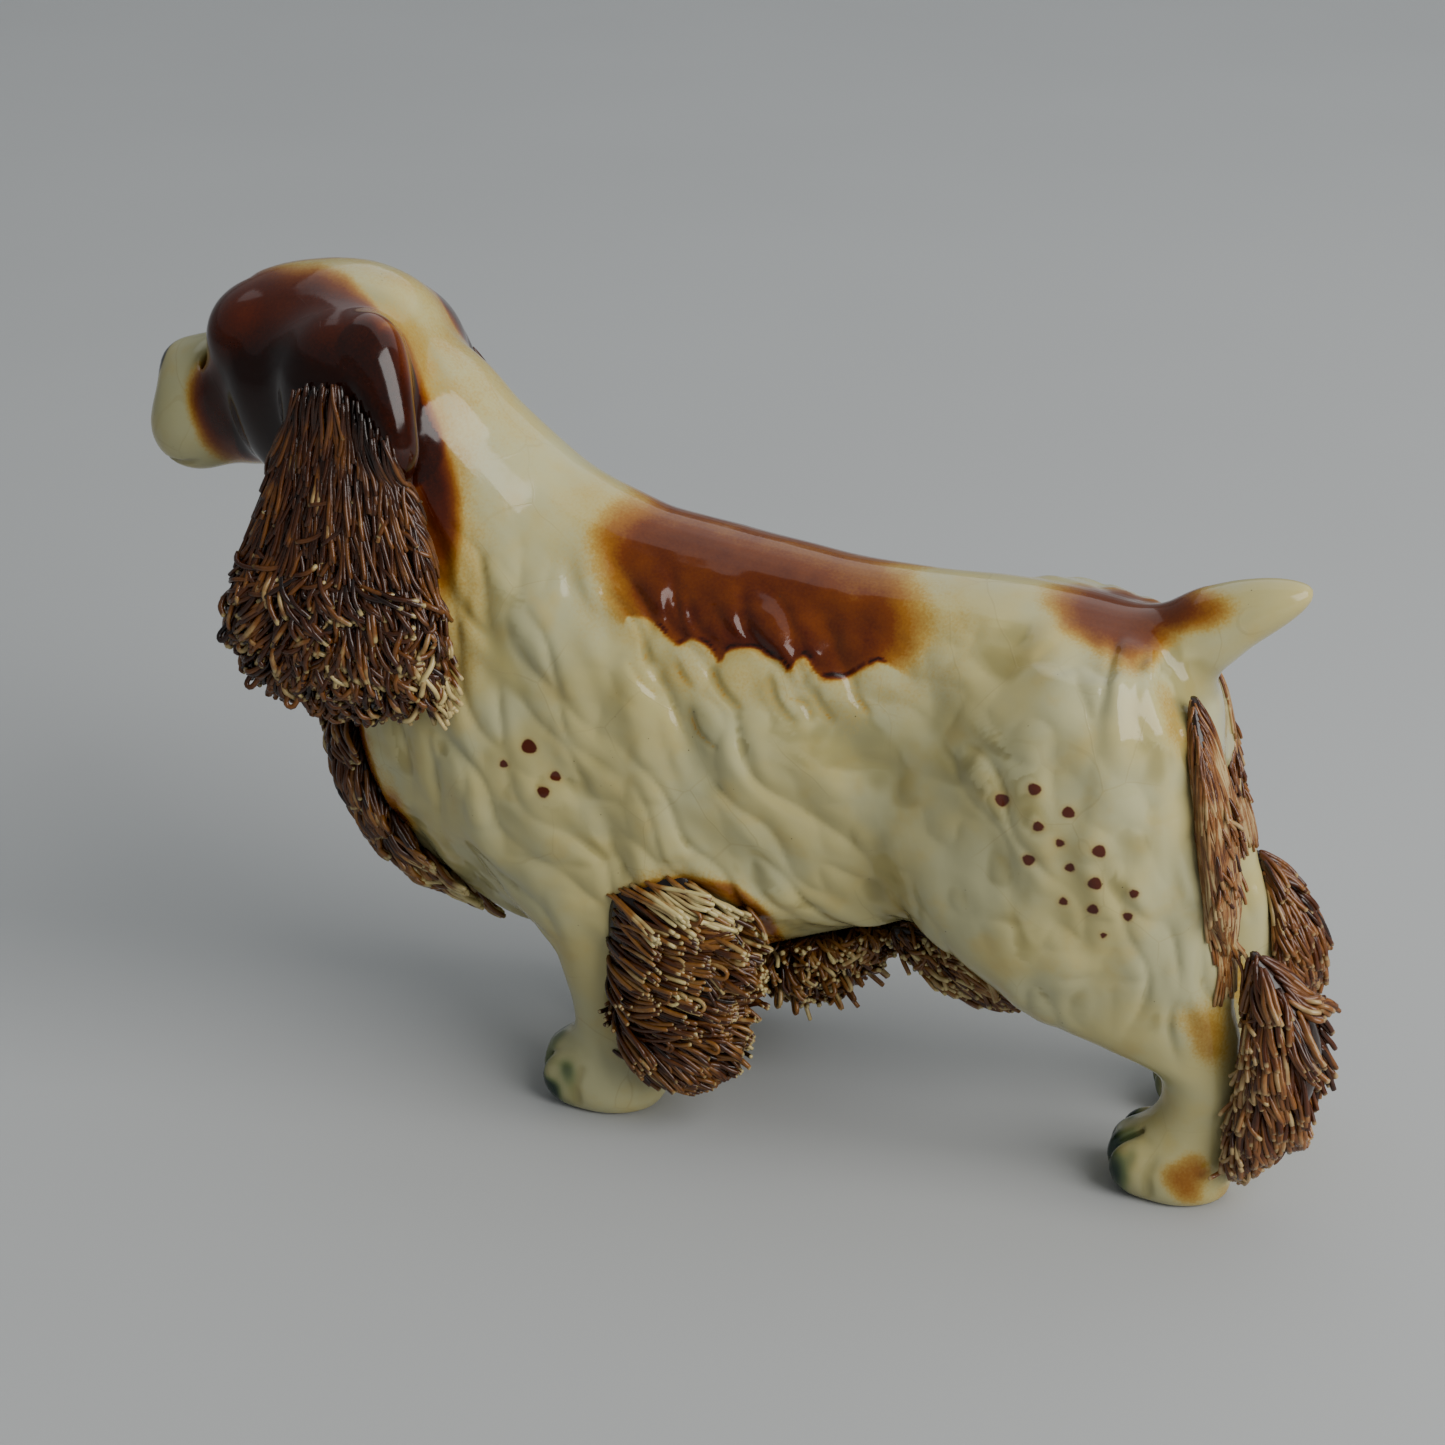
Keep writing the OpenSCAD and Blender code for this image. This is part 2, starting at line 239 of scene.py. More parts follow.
def ball_distance(centre, radii, margin):
    """The cells round an ellipsoid, and their distance to it, close to exact near its surface."""
    centre, r = np.array(centre), np.array(radii, float)
    block = box_of(centre - max(radii), centre + max(radii), margin)
    p = cell_points(block) - centre
    k0 = np.sqrt(((p / r) ** 2).sum(-1)) + 1e-9
    k1 = np.sqrt(((p / r ** 2) ** 2).sum(-1)) + 1e-9
    return block, (k0 * (k0 - 1) / k1).astype(np.float32)


class Surface:
    """Anything with a distance field: at gives the distance and outward the way out."""

    def on_skin(self, points, rounds=6):
        """The places moved onto the surface."""
        p = np.array(points, float)
        for _ in range(rounds):
            p = p - self.outward(p) * self.at(p)[:, None] * 0.9
        return p


class Clay(Surface):
    """A block of clay held as distances, which also knows which casting each place belongs to."""

    def __init__(self):
        self.d = np.full(CELLS, FAR, np.float32)
        self.nearest = np.full(CELLS, FAR, np.float32)
        self.label = np.zeros(CELLS, np.int8)
        self.transform = openvdb.createLinearTransform(voxelSize=VOXEL)

    def join(self, block, d, label, k, bias=0.0):
        self.d[block] = smooth_min(self.d[block], d, k)
        closer = d + bias < self.nearest[block]
        self.nearest[block][closer] = (d + bias)[closer]
        self.label[block][closer] = label

    def add_loft(self, stations, label, k, bias=0.0):
        points, triangles = loft(stations)
        grid = openvdb.FloatGrid.createLevelSetFromPolygons(
            points.astype(np.float32), triangles=triangles.astype(np.uint32),
            transform=self.transform, halfWidth=BAND)
        block = box_of(points.min(0), points.max(0), BAND * VOXEL)
        shape = tuple(s.stop - s.start for s in block)
        d = np.empty(shape, np.float32)
        grid.copyToArray(d, ijk=tuple(int(s.start + o) for s, o in zip(block, LOW_CELL)))
        self.join(block, d, label, k, bias)

    def add_ball(self, centre, radii, label, k):
        block, d = ball_distance(centre, radii, 3 * k)
        self.join(block, d, label, k)

    def carve_ball(self, centre, radii, k):
        block, d = ball_distance(centre, radii, 3 * k)
        self.d[block] = -smooth_min(-self.d[block], d, k)

    def carve_line(self, path, radius, k):
        """A groove along a line of points."""
        path = np.array(path, float)
        block = box_of(path.min(0), path.max(0), 3 * radius + 2 * k)
        p = cell_points(block)
        d = np.full(p.shape[:-1], FAR)
        for a, b in zip(path[:-1], path[1:]):
            t = np.clip(((p - a) @ (b - a)) / ((b - a) @ (b - a)), 0, 1)
            d = np.minimum(d, np.sqrt(((p - a - t[..., None] * (b - a)) ** 2).sum(-1)))
        self.d[block] = -smooth_min(-self.d[block], (d - radius).astype(np.float32), k)

    def at(self, points):
        """The distance at any places, between cells."""
        p = np.asarray(points, float) / VOXEL - LOW_CELL
        p = np.clip(p, 0, np.array(CELLS) - 1.001)
        i = p.astype(np.int64)
        f = p - i
        return sum(w * self.d[tuple((i + corner).T)] for corner, w in corners(f))

    def outward(self, points, reach=VOXEL):
        """Unit direction away from the clay."""
        n = np.empty((len(points), 3))
        for axis in range(3):
            step = np.zeros(3)
            step[axis] = reach
            n[:, axis] = self.at(points + step) - self.at(points - step)
        return n / np.maximum(np.linalg.norm(n, axis=1, keepdims=True), 1e-6)

    def mesh(self):
        grid = openvdb.FloatGrid(3.0)
        grid.copyFromArray(np.clip(self.d, -3, 3), ijk=tuple(int(v) for v in LOW_CELL))
        grid.transform = self.transform
        points, quads = grid.convertToQuads(0.0)
        return points.astype(float), quads.astype(np.int64)


class Bed(Surface):
    """The clay as either side of the dog sees it: x runs outwards on both."""

    def __init__(self, clay, side=1, shift=0.0):
        self.clay, self.side, self.shift = clay, side, shift if side < 0 else 0.0

    def world(self, points):
        out = np.array(points, float)
        out[..., 0] *= self.side
        out[..., 1] += self.shift
        return out

    def at(self, points):
        return self.clay.at(self.world(points))

    def outward(self, points, reach=1.2):
        n = self.clay.outward(self.world(points), reach)
        n[:, 0] *= self.side
        return n


# ---------------------------------------------------------------- the castings

CASTINGS = ["torso", "head", "tail", "left_fore_leg", "right_fore_leg",
            "left_hind_leg", "right_hind_leg", "left_ear", "right_ear"]
LABEL = {name: i for i, name in enumerate(CASTINGS)}
SIDES = (("left", 1), ("right", -1))


EYE = (7.4, -126.9, 184.0)
EYE_R = 3.2
PAW_X, PAW_Z = 21.0, 8.5
TOE_PITCH = 5.4
FORE_PAW_Y, HIND_PAW_Y = -24.5, 122.0


def make_head(clay):
    """A domed skull with heavy brows over sunken eyes, and a short square muzzle with soft flews."""
    head = LABEL["head"]
    clay.add_loft(SKULL, head, 3)
    clay.add_loft(MUZZLE, head, 3)
    clay.add_ball((0, -141.3, 180.5), (6.6, 5.4, 5.6), head, 3)
    clay.carve_ball((0, -130, 199), (2.2, 10, 5), 5)
    for side in (1, -1):
        clay.add_ball((side * 9.5, -118.5, 193.5), (11.5, 9.5, 10), head, 4)
        clay.add_ball((side * 14.5, -110.5, 182), (10, 10.5, 14), head, 3)
        clay.add_ball((side * 17, -101, 172), (9, 14, 14), head, 6)
        clay.add_ball((side * 8.8, -135, 167), (8.6, 11.5, 10.5), head, 4)
        clay.add_ball((side * 12.5, -124, 180), (5, 5.5, 7), head, 6)
        clay.carve_ball((side * 8.5, -128.6, 183.6), (3.8, 3, 3.8), 2.5)
        clay.add_ball((side * EYE[0], EYE[1], EYE[2]), (EYE_R, EYE_R, EYE_R), head, 0.8)
        clay.carve_ball((side * 3.4, -146.3, 180.5), (1.4, 2.2, 1.2), 0.8)
        clay.carve_line([(0, -149, 175.5), (0, -148.5, 171), (side * 4, -148, 166),
                         (side * 9, -145.5, 161.5), (side * 14, -138, 159.5),
                         (side * 17, -128, 161), (side * 17.5, -121, 164)], 0.45, 1.0)


def make_paw(clay, y, label, length, outer):
    """Four toes on a paw, as soft knuckles with creases between them. outer is the side away from
    the other paw."""
    x, z = outer * PAW_X, PAW_Z
    for across in (-1.5, -0.5, 0.5, 1.5):
        back = 0.9 * abs(across) ** 1.5
        clay.add_ball((x + across * TOE_PITCH, y - length + back, z), (TOE_PITCH * 0.66, 8, 7.8), label, 1.2)
    for across in (-1, 0, 1):
        clay.carve_line([(x + across * TOE_PITCH, y - length - 7, z - 4),
                         (x + across * TOE_PITCH, y - length - 6, z + 3),
                         (x + across * TOE_PITCH * 0.9, y - length + 1.5, z + 8)], 0.8, 1.4)
    for back in (-1, 5):
        clay.carve_line([(x + outer * 12.5, y - length + back, z + 5),
                         (x + outer * 13, y - length + back - 1.5, z),
                         (x + outer * 12.5, y - length + back - 1, z - 5)], 1.0, 1.6)


def relief(clay):
    """Soft diagonal folds of fur, deeper towards the belly, over a hand-smoothed back."""
    near = np.argwhere(np.abs(clay.d) < 3.2)
    p = (near + LOW_CELL) * VOXEL
    x, y, z = p.T
    slope = np.radians(60 + 12 * smoothstep(0, 100, y))
    along = -z * np.sin(slope) + y * np.cos(slope)
    across = z * np.cos(slope) + y * np.sin(slope)
    wander = noise(np.stack([along / 30, across / 26, x / 40], -1), 5)
    across = across + 5.5 * wander
    locks = scoops(np.stack([along / 22, across / 10, x / 30], -1), 11)
    folds = np.abs(noise(np.stack([along / 17, across / 6.5, x / 26], -1), 21))
    dimples = np.abs(noise(p / 8.0, 51))
    broad = noise(np.stack([along / 24, across / 13, x / 34], -1), 31)
    side_on = smoothstep(9, 20, np.abs(x))
    top = smoothstep(153, 138, z - 0.55 * np.clip(-y - 38, 0, 60))
    body = smoothstep(-97, -80, y) * side_on * top * smoothstep(34, 58, z)
    neck = 0.25 * smoothstep(120, 150, z) * smoothstep(-44, -62, y) * side_on * smoothstep(186, 176, z)
    d = ((locks - 0.42) * 2.3 + (folds - 0.3) * 1.6 + (dimples - 0.3) * 0.6 + broad * 1.5) * body
    d += broad * neck + noise(p / 10.0, 41) * 0.14
    clay.d[near[:, 0], near[:, 1], near[:, 2]] -= d.astype(np.float32)


# Tool marks under the saddle patch: start, end (along the body and up), bow, and radius
SADDLE_MARKS = [
    ((-18.5, 147), (-8, 130), -3.0, 0.7), ((-12, 129), (-5.5, 122), 0.8, 0.5),
    ((-3, 148), (1, 137), 1.5, 0.9), ((2.4, 149), (10, 136), 2.2, 1.1),
    ((9, 146), (19, 137), 2.0, 0.8), ((14.5, 147), (24, 135), 2.2, 1.1),
    ((30, 142), (36, 134), 1.5, 0.9), ((-0.5, 131), (3.5, 125), 1.0, 0.7),
    ((8.5, 130), (15, 121), 1.2, 0.8), ((22.5, 131), (28.5, 119), 1.8, 0.9),
    ((27.5, 125), (33, 120.5), -2.0, 0.6), ((33.5, 128), (38, 121), 1.0, 0.6),
    ((43, 133), (47, 124), 1.4, 0.7), ((3, 119), (9, 110), 1.5, 0.7),
]


def bowed(start, end, bow, t):
    """Places at the fractions t of a line that bends aside by bow in its middle."""
    start, end = np.array(start, float), np.array(end, float)
    aside = unit(np.array([end[1] - start[1], start[0] - end[0]]))
    return start + (end - start) * t + aside * bow * np.sin(t * math.pi)


def carve_strokes(clay):
    """Tool marks pressed into the soft clay under the saddle patch."""
    t = np.linspace(0, 1, 7)[:, None]
    for start, end, bow, radius in SADDLE_MARKS:
        path = bowed(start, end, bow, t)
        for side in (1, -1):
            flat = np.concatenate([np.full((7, 1), side * PAINT_PLANE), path], 1)
            skin = hit_from_side(clay, flat, side)
            rise = (1.5 - 0.6 * radius * np.sin(t * math.pi) ** 0.7) * clay.outward(skin, 1.6)
            clay.carve_line(skin + rise, 1.5, 0.8)


def hit_from_side(clay, points, side):
    """Where the decoration's layout lines meet the clay, from places on its plane."""
    way = unit(np.array([-side, -PAINT_RUN, -PAINT_DROP]))
    p = np.array(points, float) - way * 12
    for _ in range(50):
        p = p + way * np.clip(clay.at(p), -1, 4)[:, None]
    return p


# The rolled rear edge of an ear's smooth root: places on the left ear, and radius
EAR_ROLL = [(23.5, -80.5, 199, 5), (28, -76.5, 192, 5), (31.5, -72.5, 182, 4.2), (33.5, -69.5, 170, 3)]
RIGHT_EAR_DROP = -13.0


def make_ear(clay, bed, label):
    """A thin flap under a full smooth root, with a rolled rear edge."""
    clay.add_loft(placed(EAR, EAR_X, bed.side, bed.shift), label, 3, -0.5)
    drop = RIGHT_EAR_DROP if bed.side < 0 else 0.0
    clay.add_ball(bed.world([24, -86, 190 + drop / 2]), (9, 14, 13), label, 14)
    for a, b in zip(EAR_ROLL[:-1], EAR_ROLL[1:]):
        for t in np.linspace(0, 1, 5)[:-1]:
            x, y, z, r = np.array(a) * (1 - t) + np.array(b) * t
            clay.add_ball(bed.world([x, y, z + drop]), (r, r, r), label, 5)


def make_clay():
    clay = Clay()
    clay.add_loft(TORSO, LABEL["torso"], 2)
    clay.add_loft(NECK, LABEL["torso"], 9)
    make_head(clay)
    clay.add_loft(TAIL, LABEL["tail"], 6, 1.0)
    for name, side in SIDES:
        clay.add_loft(placed(FORE_LEG, LEG_X, side), LABEL[name + "_fore_leg"], 8, 1.0)
        lean = RIGHT_HIND_LEAN
        clay.add_loft(placed(HIND_LEG, LEG_X, side, 0, lean), LABEL[name + "_hind_leg"], 12, 1.0)
        make_ear(clay, Bed(clay, side, RIGHT_EAR_SHIFT), LABEL[name + "_ear"])
        make_paw(clay, FORE_PAW_Y, LABEL[name + "_fore_leg"], 8.5, side)
        back = lean * (KNEE_Z - 8) if side < 0 else 0.0
        make_paw(clay, HIND_PAW_Y + back, LABEL[name + "_hind_leg"], 8, side)
    relief(clay)
    carve_strokes(clay)
    clay.carve_line([(0, VENT_Y, 38), (0, VENT_Y, 66)], VENT_D / 2, 0.8)
    ground = cell_points((slice(0, 1), slice(0, 1), slice(0, CELLS[2])))[0, 0, :, 2]
    clay.d = np.maximum(clay.d, -ground[None, None, :].astype(np.float32))
    return clay


# ---------------------------------------------------------------- meshes

def to_metres(points):
    return (np.asarray(points, float) + np.array([0, CENTRE_SHIFT, 0])) * 0.001


def new_object(name, points, faces, material, attributes, normals=None):
    """A mesh object from arrays, in metres, with smooth faces and named values per point."""
    mesh = bpy.data.meshes.new(name)
    size = faces.shape[1]
    mesh.vertices.add(len(points))
    mesh.vertices.foreach_set("co", to_metres(points).astype(np.float32).ravel())
    mesh.loops.add(faces.size)
    mesh.loops.foreach_set("vertex_index", faces.astype(np.int32).ravel())
    mesh.polygons.add(len(faces))
    mesh.polygons.foreach_set("loop_start", np.arange(0, faces.size, size, dtype=np.int32))
    mesh.polygons.foreach_set("use_smooth", np.ones(len(faces), bool))
    mesh.update(calc_edges=True)
    mesh.validate()
    for key, values in attributes.items():
        layer = mesh.attributes.new(key, "FLOAT", "POINT")
        layer.data.foreach_set("value", np.asarray(values, np.float32))
    if normals is not None:
        mesh.normals_split_custom_set_from_vertices(normals.tolist())
    mesh.materials.append(material)
    obj = bpy.data.objects.new(name, mesh)
    bpy.context.scene.collection.objects.link(obj)
    return obj


def boundary_loops(faces):
    """Chains of points round every open edge, in face order."""
    edges = np.stack([faces.ravel(), np.roll(faces, -1, axis=1).ravel()], -1)
    keys = {(int(u), int(v)) for u, v in edges}
    nxt = {}
    for u, v in keys:
        if (v, u) not in keys:
            nxt.setdefault(u, []).append(v)
    loops = []
    while nxt:
        start = next(iter(sorted(nxt)))
        loop = [start]
        while True:
            options = nxt.get(loop[-1])
            if not options:
                break
            step = options.pop()
            if not options:
                del nxt[loop[-1]]
            if step == start:
                break
            loop.append(step)
        if len(loop) > 2:
            loops.append(loop)
    return loops


def casting_pieces(clay, material):
    """Cuts the skin into closed castings whose cut edges share their points and shading."""
    points, quads = clay.mesh()
    normals = clay.outward(points, 0.6)
    middle = points[quads].mean(1)
    cell = np.rint(middle / VOXEL).astype(int) - LOW_CELL
    face_label = clay.label[cell[:, 0], cell[:, 1], cell[:, 2]]
    values = skin_paint(points, normals, clay)
    made = {}
    for name in CASTINGS:
        faces = quads[face_label == LABEL[name]]
        used, local = np.unique(faces, return_inverse=True)
        faces = local.reshape(-1, 4)
        part_points, part_normals = points[used], normals[used]
        tris = np.vstack([faces[:, [0, 1, 2]], faces[:, [0, 2, 3]]])
        caps, extra = [], []
        for loop in boundary_loops(faces):
            centre = part_points[loop].mean(0)
            index = len(part_points) + len(extra)
            extra.append(centre)
            ring = np.array(loop)
            caps.append(np.stack([np.full(len(ring), index), np.roll(ring, -1), ring], -1))
        if extra:
            part_points = np.vstack([part_points, extra])
            part_normals = np.vstack([part_normals, np.tile([0, 0, 1.0], (len(extra), 1))])
            tris = np.vstack([tris] + caps)
        attributes = {key: np.append(v[used], np.zeros(len(extra))) for key, v in values.items()}
        made[name] = new_object(name + "_casting", part_points, tris, material,
                                attributes, part_normals)
    return made


# ---------------------------------------------------------------- paint

def side_view(points):
    """Places on the plane that the side decoration is laid out on."""
    inward = PAINT_PLANE - np.abs(points[:, 0])
    return points[:, 1] + PAINT_RUN * inward, points[:, 2] + PAINT_DROP * inward


def oval(y, z, cy, cz, ry, rz, turn=0.0):
    """0 in the middle of an oval and 1 on its edge."""
    c, s = math.cos(math.radians(turn)), math.sin(math.radians(turn))
    u, v = y - cy, z - cz
    return np.sqrt(((c * u + s * v) / ry) ** 2 + ((-s * u + c * v) / rz) ** 2)


def along_line(y, z, path):
    """Distance to a bent line and how far along it the nearest place is, from 0 to 1."""
    path = np.array(path, float)
    lengths = np.hypot(*np.diff(path, axis=0).T)
    total = lengths.sum()
    best, where, start = np.full(len(y), 1e9), np.zeros(len(y)), 0.0
    for (a, b), length in zip(zip(path[:-1], path[1:]), lengths):
        t = np.clip(((y - a[0]) * (b[0] - a[0]) + (z - a[1]) * (b[1] - a[1])) / length ** 2, 0, 1)
        d = np.hypot(y - a[0] - t * (b[0] - a[0]), z - a[1] - t * (b[1] - a[1]))
        closer = d < best
        best[closer] = d[closer]
        where[closer] = ((start + t * length) / total)[closer]
        start += length
    return best, where


SHOULDER_SPOTS = [(-38, 104, 2.0), (-44.7, 98.5, 1.1), (-31.3, 97, 1.4), (-34.5, 92.4, 1.6)]
THIGH_SPOTS = [
    (78.5, 106, 1.7), (85.8, 109.8, 1.6), (94, 105, 1.55), (87, 100.5, 1.35), (92.3, 97, 1.1),
    (101.5, 96.2, 1.7), (85.2, 91.6, 1.5), (95, 91, 1.2), (101, 87.8, 1.7), (110.5, 86.4, 1.2),
    (94, 82, 1.1), (101, 81, 1.35), (109.5, 80.2, 1.2), (104, 74.5, 0.8),
]


# The lower edge of the saddle patch, with a drip at each low point: along the body and up
SADDLE_EDGE = [(-40, 118), (-22, 122), (-17, 130), (-13, 140), (-9.5, 142), (-6, 140.5), (-0.4, 135.6),
               (3.5, 137.6), (8, 135.5), (10.3, 132.4), (12.5, 135.5), (17.6, 136.8), (24.5, 134.6),
               (27.4, 132.3), (29.5, 135.6), (32, 136), (35.8, 131.5), (41.4, 132.2), (47, 136),
               (52, 137), (57, 133), (62, 126), (80, 118)]


# Small stains round the feathering: depth, where it starts and stops thinning, oval, raggedness
STAINS = [
    (0.72, 0.1, 1.1, (24, 57, 6.5, 3.6, -35), 0.2), (0.50, 0.1, 1.1, (36, 51, 5, 3, 10), 0.2),
    (0.24, 0.0, 1.2, (133, 50, 10, 19, 10), 0.5), (0.46, 0.1, 1.2, (132, 13, 8.5, 8, 25), 0.5),
    (0.20, 0.0, 1.2, (119, 133, 6, 14, 18), 0.35),
]


# The upper edge of the brown on the head: along the body and up
MASK_TOP = [(-130, 206), (-121, 218), (-113, 223), (-103, 225.5), (-92, 226), (-84, 223), (-77, 217),
            (-71, 209), (-65, 197)]


def skin_paint(points, normals, clay):
    """The brown spray, the distance outside a spot, the green, and the hollows at each point, which get
    painted shade.
    """
    y, z = side_view(points)
    x3, y3, z3 = points.T
    ax = np.abs(x3)
    wobble = noise(np.stack([y / 9, z / 9, x3 / 20], -1), 3)
    fine = noise(np.stack([y / 3.2, z / 3.2, x3 / 12], -1), 8)
    spray = np.zeros(len(y))

    def blend(amount):
        np.maximum(spray, amount, out=spray)

    # saddle patch: soft in front, above and behind, ragged below
    saddle = oval(y, z, 20, 154, 45, 30, -9)
    soft = 1 - smoothstep(0.50, 1.15, saddle + 0.05 * wobble)
    edge_z = np.interp(y, *smooth_stations(SADDLE_EDGE, 5).T) + 0.8 * fine
    cut = smoothstep(-0.9, 1.0, z - edge_z)
    top = 1 - 0.30 * smoothstep(158, 170, z + 0.23 * (y - 10))
    rich = 0.66 + 0.13 * smoothstep(12, -2, z - edge_z) + 0.07 * wobble + 0.05 * fine
    blend(rich * np.minimum(soft * 1.25, 1) * cut * top)
    blend((0.90 * np.exp(-((z - edge_z - 0.8) / 0.8) ** 2) * smoothstep(-0.4, 0.4, fine + 0.3)
           + 0.17 * smoothstep(-7, 0, z - edge_z)) * smoothstep(0.94, 0.80, saddle) * smoothstep(150, 144, z))
    # ochre lines that settled in the tool marks below it
    for start, end, bow, radius in SADDLE_MARKS:
        d, _ = along_line(y, z, bowed(start, end, bow, np.linspace(0, 1, 6)[:, None]))
        blend(0.30 * np.exp(-(d / (radius * 0.6)) ** 2) * (end[1] < 132) * (0.6 + 0.4 * fine))
    # a warmer cream round the head, the neck and the saddle
    warm = smoothstep(-34, -62, y3) * smoothstep(118, 152, z3) * (0.8 + 0.3 * wobble)
    blend(0.15 * warm)
    blend(0.10 * (1 - smoothstep(1.0, 1.45, saddle + 0.1 * wobble)))
    # rump patch, running out along the tail and down to a point below it
    rump = np.minimum(oval(y, z, 107, 157, 21, 21, 8), oval(y, z, 119, 159, 20, 9, 10))
    point = smoothstep(-7, 8, z - 141 - 0.55 * np.abs(y - 110) + 2 * fine)
    blend((0.12 + 0.50 * point) * (1 - smoothstep(0.15, 1.15, rump + 0.10 * wobble)))
    # head: over the brow and cheek to the ear, and a streak down the neck behind it
    top_z = np.interp(y, *np.array(MASK_TOP).T)
    depth = top_z - z + 1.5 * wobble
    mask = smoothstep(-4, 9, depth) * smoothstep(-63, -72, y) * smoothstep(160, 173, z3 + 0.35 * ax)
    blend(mask * (0.80 + 0.26 * smoothstep(14, 34, depth)))
    d, t = along_line(y, z, [(-73, 204), (-67.5, 190), (-62.5, 175), (-60, 160), (-59.5, 147),
                             (-60, 134), (-61, 124)])
    fade = 1 - smoothstep(0.45, 0.98, t)
    blend(0.92 * fade * (1 - smoothstep(0.5, 8.5, d + 0.8 * wobble)))
    blend(0.25 * (1 - smoothstep(3, 19, d)) * (1 - 0.4 * t))
    for side, shift in ((1, 0.0), (-1, RIGHT_EAR_SHIFT)):
        drop = RIGHT_EAR_DROP if side < 0 else 0.0
        d, t = along_line(y3, z3, [(c[1] + shift, c[2] + drop) for c in EAR_ROLL])
        blend(0.95 * (1 - smoothstep(5, 8, d)) * (x3 * side > 20))
    # muzzle: cream, with a dark spot behind the flews
    muzzle = smoothstep(-119.5, -122.5, y3 + 0.75 * np.clip(z3 - 183, 0, 20)) * (z3 < 205)
    spray *= 1 - muzzle
    spot = oval(y, z, -115.8, 186, 13, 18, 0)
    blend(0.92 * (1 - smoothstep(0.38, 1.08, spot + 0.04 * wobble)) * (z3 < 198))
    # arc round the foreleg fringe, chest edge, hock and heel
    d, t = along_line(y, z, [(-13, 66), (-8, 70.5), (1.5, 73), (13, 72), (21, 66), (26, 58),
                             (32, 53), (40, 56)])
    blend((0.34 + 0.35 * t) * (1 - smoothstep(0.2, 4.2, d + 0.8 * wobble)) * (1 - 0.5 * t ** 4))
    blend(0.15 * (1 - smoothstep(1, 8, d)))
    bib = oval(ax, z3, 0, 88, 25.5, 27) + 0.06 * wobble
    blend(0.75 * (1 - smoothstep(0.84, 1.16, bib)) * smoothstep(-66, -80, y3))
    for amount, low, high, place, ragged in STAINS:
        blend(amount * (1 - smoothstep(low, high, oval(y, z, *place) + ragged * wobble)))
    # spots, as the distance outside the nearest one
    spots = np.full(len(y), 6.0)
    for cy, cz, r in SHOULDER_SPOTS + THIGH_SPOTS:
        near = (np.hypot(y - cy, z - cz) < r + 6) & (ax > 12)
        u, v = (y - cy)[near], (z - cz)[near]
        ragged = 0.13 * np.sin(3 * np.arctan2(v, u) + cy)
        spots[near] = np.minimum(spots[near], np.hypot(u, v * 1.06) - r + ragged)
    # green pools in the toes
    toes = smoothstep(21, 13, z3) * (smoothstep(-27, -33, y3) + smoothstep(117, 110, y3) * (y3 > 60))
    pools = noise(points / 5.5, 61)
    green = np.clip(toes * (0.78 + 0.65 * pools), 0, 1)
    # how hollow the place is; the skin's colour darkens to olive there as painted shade
    hollow = np.clip((2.4 - clay.at(points + normals * 2.4)) * 1.6, -1, 1)
    nose = oval(y3, z3, -146.8, 182, 4.4, 5.6) + (ax / 8.5) ** 2 * 0.5
    dark = 1 - smoothstep(0.85, 1.15, nose)
    eye = np.sqrt((ax - EYE[0]) ** 2 + (y3 - EYE[1]) ** 2 + (z3 - EYE[2]) ** 2) / EYE_R
    dark = np.maximum(dark, 1 - smoothstep(1.02, 1.12, eye))
    return {"spray": spray, "spots": spots, "green": green, "hollow": hollow, "dark": dark}


# ---------------------------------------------------------------- strands

STRAND_SIDES = 6
FIRST_SEED = 10


def core_of(stations, inset=2.6, shrink=0.95):
    """The packed clay under the strands, a little inside the fringe's outline."""
    s = np.array(stations, float)
    middle = s[:, :3].mean(0)
    s[:, :3] = middle + (s[:, :3] - middle) * shrink
    s[:, 3:5] = np.maximum(s[:, 3:5] - inset, s[:, 3:5] * 0.45)
    s[[0, -1], 3:5] *= 0.5
    return s.tolist()


def roots_on(stations, count, rng):
    """Places spread evenly over the outside of a form, and the angle round it of each."""
    s = smooth_stations(stations, 8)
    step = np.linalg.norm(np.diff(s[:, :3], axis=0), axis=1)
    area = step * (s[1:, 3] + s[1:, 4] + s[:-1, 3] + s[:-1, 4])
    row = rng.choice(len(area), count, p=area / area.sum())
    t = rng.random(count)[:, None]
    at = s[row] * (1 - t) + s[row + 1] * t
    angle = rng.random(count) * 2 * math.pi
    # narrow forms have more skin along their long side
    swap = rng.random(count) < np.abs(np.sin(angle)) * (1 - at[:, 3] / np.maximum(at[:, 4], at[:, 3]))
    angle[swap] = np.where(rng.random(swap.sum()) < 0.5, 0, math.pi) + rng.normal(0, 0.7, swap.sum())
    tilt = np.radians(at[:, 5])
    depth = at[:, 4] * np.sin(angle)
    return np.stack([at[:, 0] + at[:, 3] * np.cos(angle), at[:, 1] + depth * np.cos(tilt),
                     at[:, 2] + depth * np.sin(tilt)], -1)


